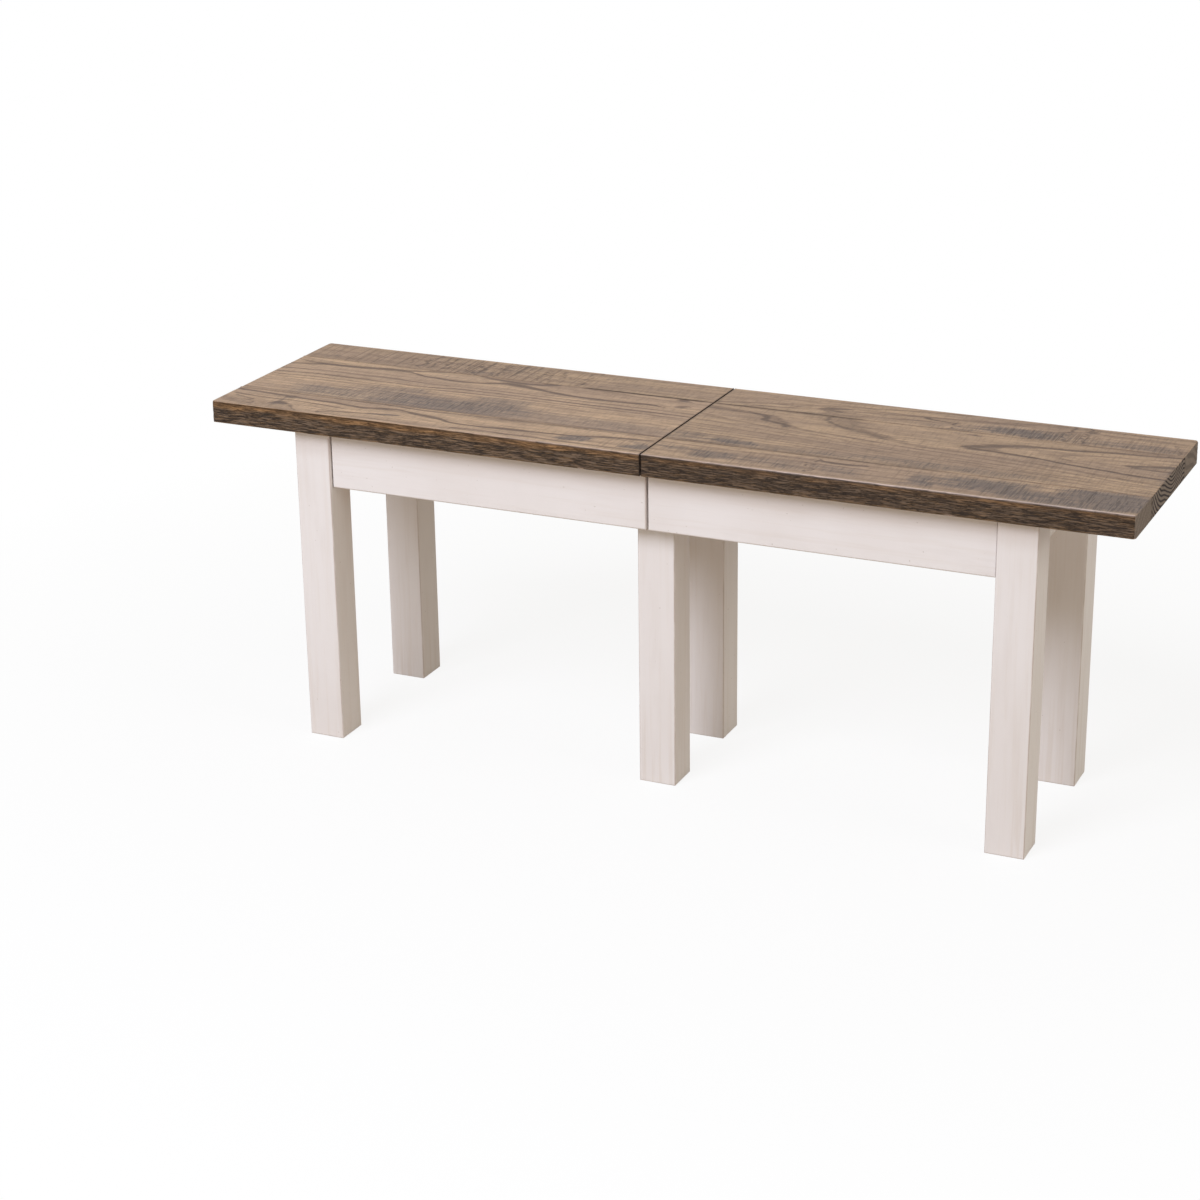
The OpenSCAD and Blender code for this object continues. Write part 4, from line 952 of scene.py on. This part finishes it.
def make_camera():
    """Camera at the photograph's place, turned by yaw, pitch and roll."""
    forward = Vector((-math.sin(CAMERA_YAW) * math.cos(CAMERA_PITCH),
                      math.cos(CAMERA_YAW) * math.cos(CAMERA_PITCH), -math.sin(CAMERA_PITCH)))
    level = forward.cross(Vector((0, 0, 1))).normalized()
    upright = level.cross(forward)
    right = level * math.cos(CAMERA_ROLL) + upright * math.sin(CAMERA_ROLL)
    up = upright * math.cos(CAMERA_ROLL) - level * math.sin(CAMERA_ROLL)
    data = bpy.data.cameras.new("camera")
    data.sensor_width = SENSOR_MM
    data.lens = FOCAL_PX / IMAGE_PX * SENSOR_MM
    camera = bpy.data.objects.new("camera", data)
    bpy.context.scene.collection.objects.link(camera)
    turn = Matrix((right, up, -forward)).transposed().to_4x4()
    camera.matrix_world = Matrix.Translation(CAMERA_PLACE) @ turn
    bpy.context.scene.camera = camera


def make_floor():
    """Pale floor that reaches past the view, white to the camera except where the bench shades it."""
    g = Graph("floor")
    rays = g.add("LightPath").outputs
    seen = g.math("MAXIMUM", rays["Is Camera Ray"],
                  g.math("MAXIMUM", rays["Is Glossy Ray"], rays["Is Transmission Ray"]))
    g.finish(Base_Color=g.mix(seen, FLOOR_BOUNCE, FLOOR_SEEN), Roughness=0.9, Specular_IOR_Level=0.0)
    glow = g.add("Emission", {"Color": WHITE, "Strength": 1.0})
    away = g.add("VectorMath", {0: g.place}, operation="LENGTH").outputs["Value"]
    share = g.add("MapRange", {"Value": away, "From Min": GLOW_NEAR, "From Max": GLOW_FAR,
                               "To Min": FLOOR_GLOW, "To Max": 1.0})
    blend = g.add("MixShader", {0: g.math("MULTIPLY", seen, share.outputs[0]), 1: g.shader.outputs[0],
                                2: glow.outputs[0]})
    g.tree.links.new(blend.outputs[0], g.tree.nodes["Material Output"].inputs["Surface"])
    corners = [(FLOOR_HALF * x, FLOOR_HALF * y, 0) for x, y in ((-1, -1), (1, -1), (1, 1), (-1, 1))]
    mesh = bpy.data.meshes.new("floor")
    mesh.from_pydata(corners, [], [(0, 1, 2, 3)])
    mesh.materials.append(g.material)
    floor = bpy.data.objects.new("floor", mesh)
    bpy.context.scene.collection.objects.link(floor)


def make_lamp(name, place, size, power, colour):
    """Round soft lamp at a place, turned to the common aim."""
    data = bpy.data.lights.new(name, "AREA")
    data.shape = "DISK"
    data.size = size
    data.energy = power
    data.color = colour
    lamp = bpy.data.objects.new(name, data)
    turn = (Vector(LAMP_AIM) - Vector(place)).to_track_quat("-Z", "Y")
    lamp.matrix_world = Matrix.Translation(place) @ turn.to_matrix().to_4x4()
    bpy.context.scene.collection.objects.link(lamp)


def make_light():
    """Soft light from all round, a large key lamp in front and a weaker one at the right side."""
    world = bpy.data.worlds.new("studio")
    bpy.context.scene.world = world
    world.use_nodes = True
    tree = world.node_tree
    background = tree.nodes["Background"]
    rays = tree.nodes.new("ShaderNodeLightPath")
    shown = rays.outputs["Is Camera Ray"]
    for kind in ("Is Glossy Ray", "Is Transmission Ray"):
        either = tree.nodes.new("ShaderNodeMath")
        either.operation = "MAXIMUM"
        tree.links.new(shown, either.inputs[0])
        tree.links.new(rays.outputs[kind], either.inputs[1])
        shown = either.outputs[0]
    strength = tree.nodes.new("ShaderNodeMapRange")
    tree.links.new(shown, strength.inputs["Value"])
    strength.inputs["To Min"].default_value = WORLD_STRENGTH
    strength.inputs["To Max"].default_value = 1.0
    tree.links.new(strength.outputs["Result"], background.inputs["Strength"])
    tint = tree.nodes.new("ShaderNodeMix")
    tint.data_type = "RGBA"
    tree.links.new(shown, tint.inputs[0])
    tint.inputs[6].default_value = WORLD_COLOUR
    tint.inputs[7].default_value = WHITE
    tree.links.new(tint.outputs[2], background.inputs["Color"])
    for name, settings in LAMPS.items():
        make_lamp(name, *settings)


make_camera()
make_floor()
make_light()
bpy.context.scene.view_settings.view_transform = "Standard"
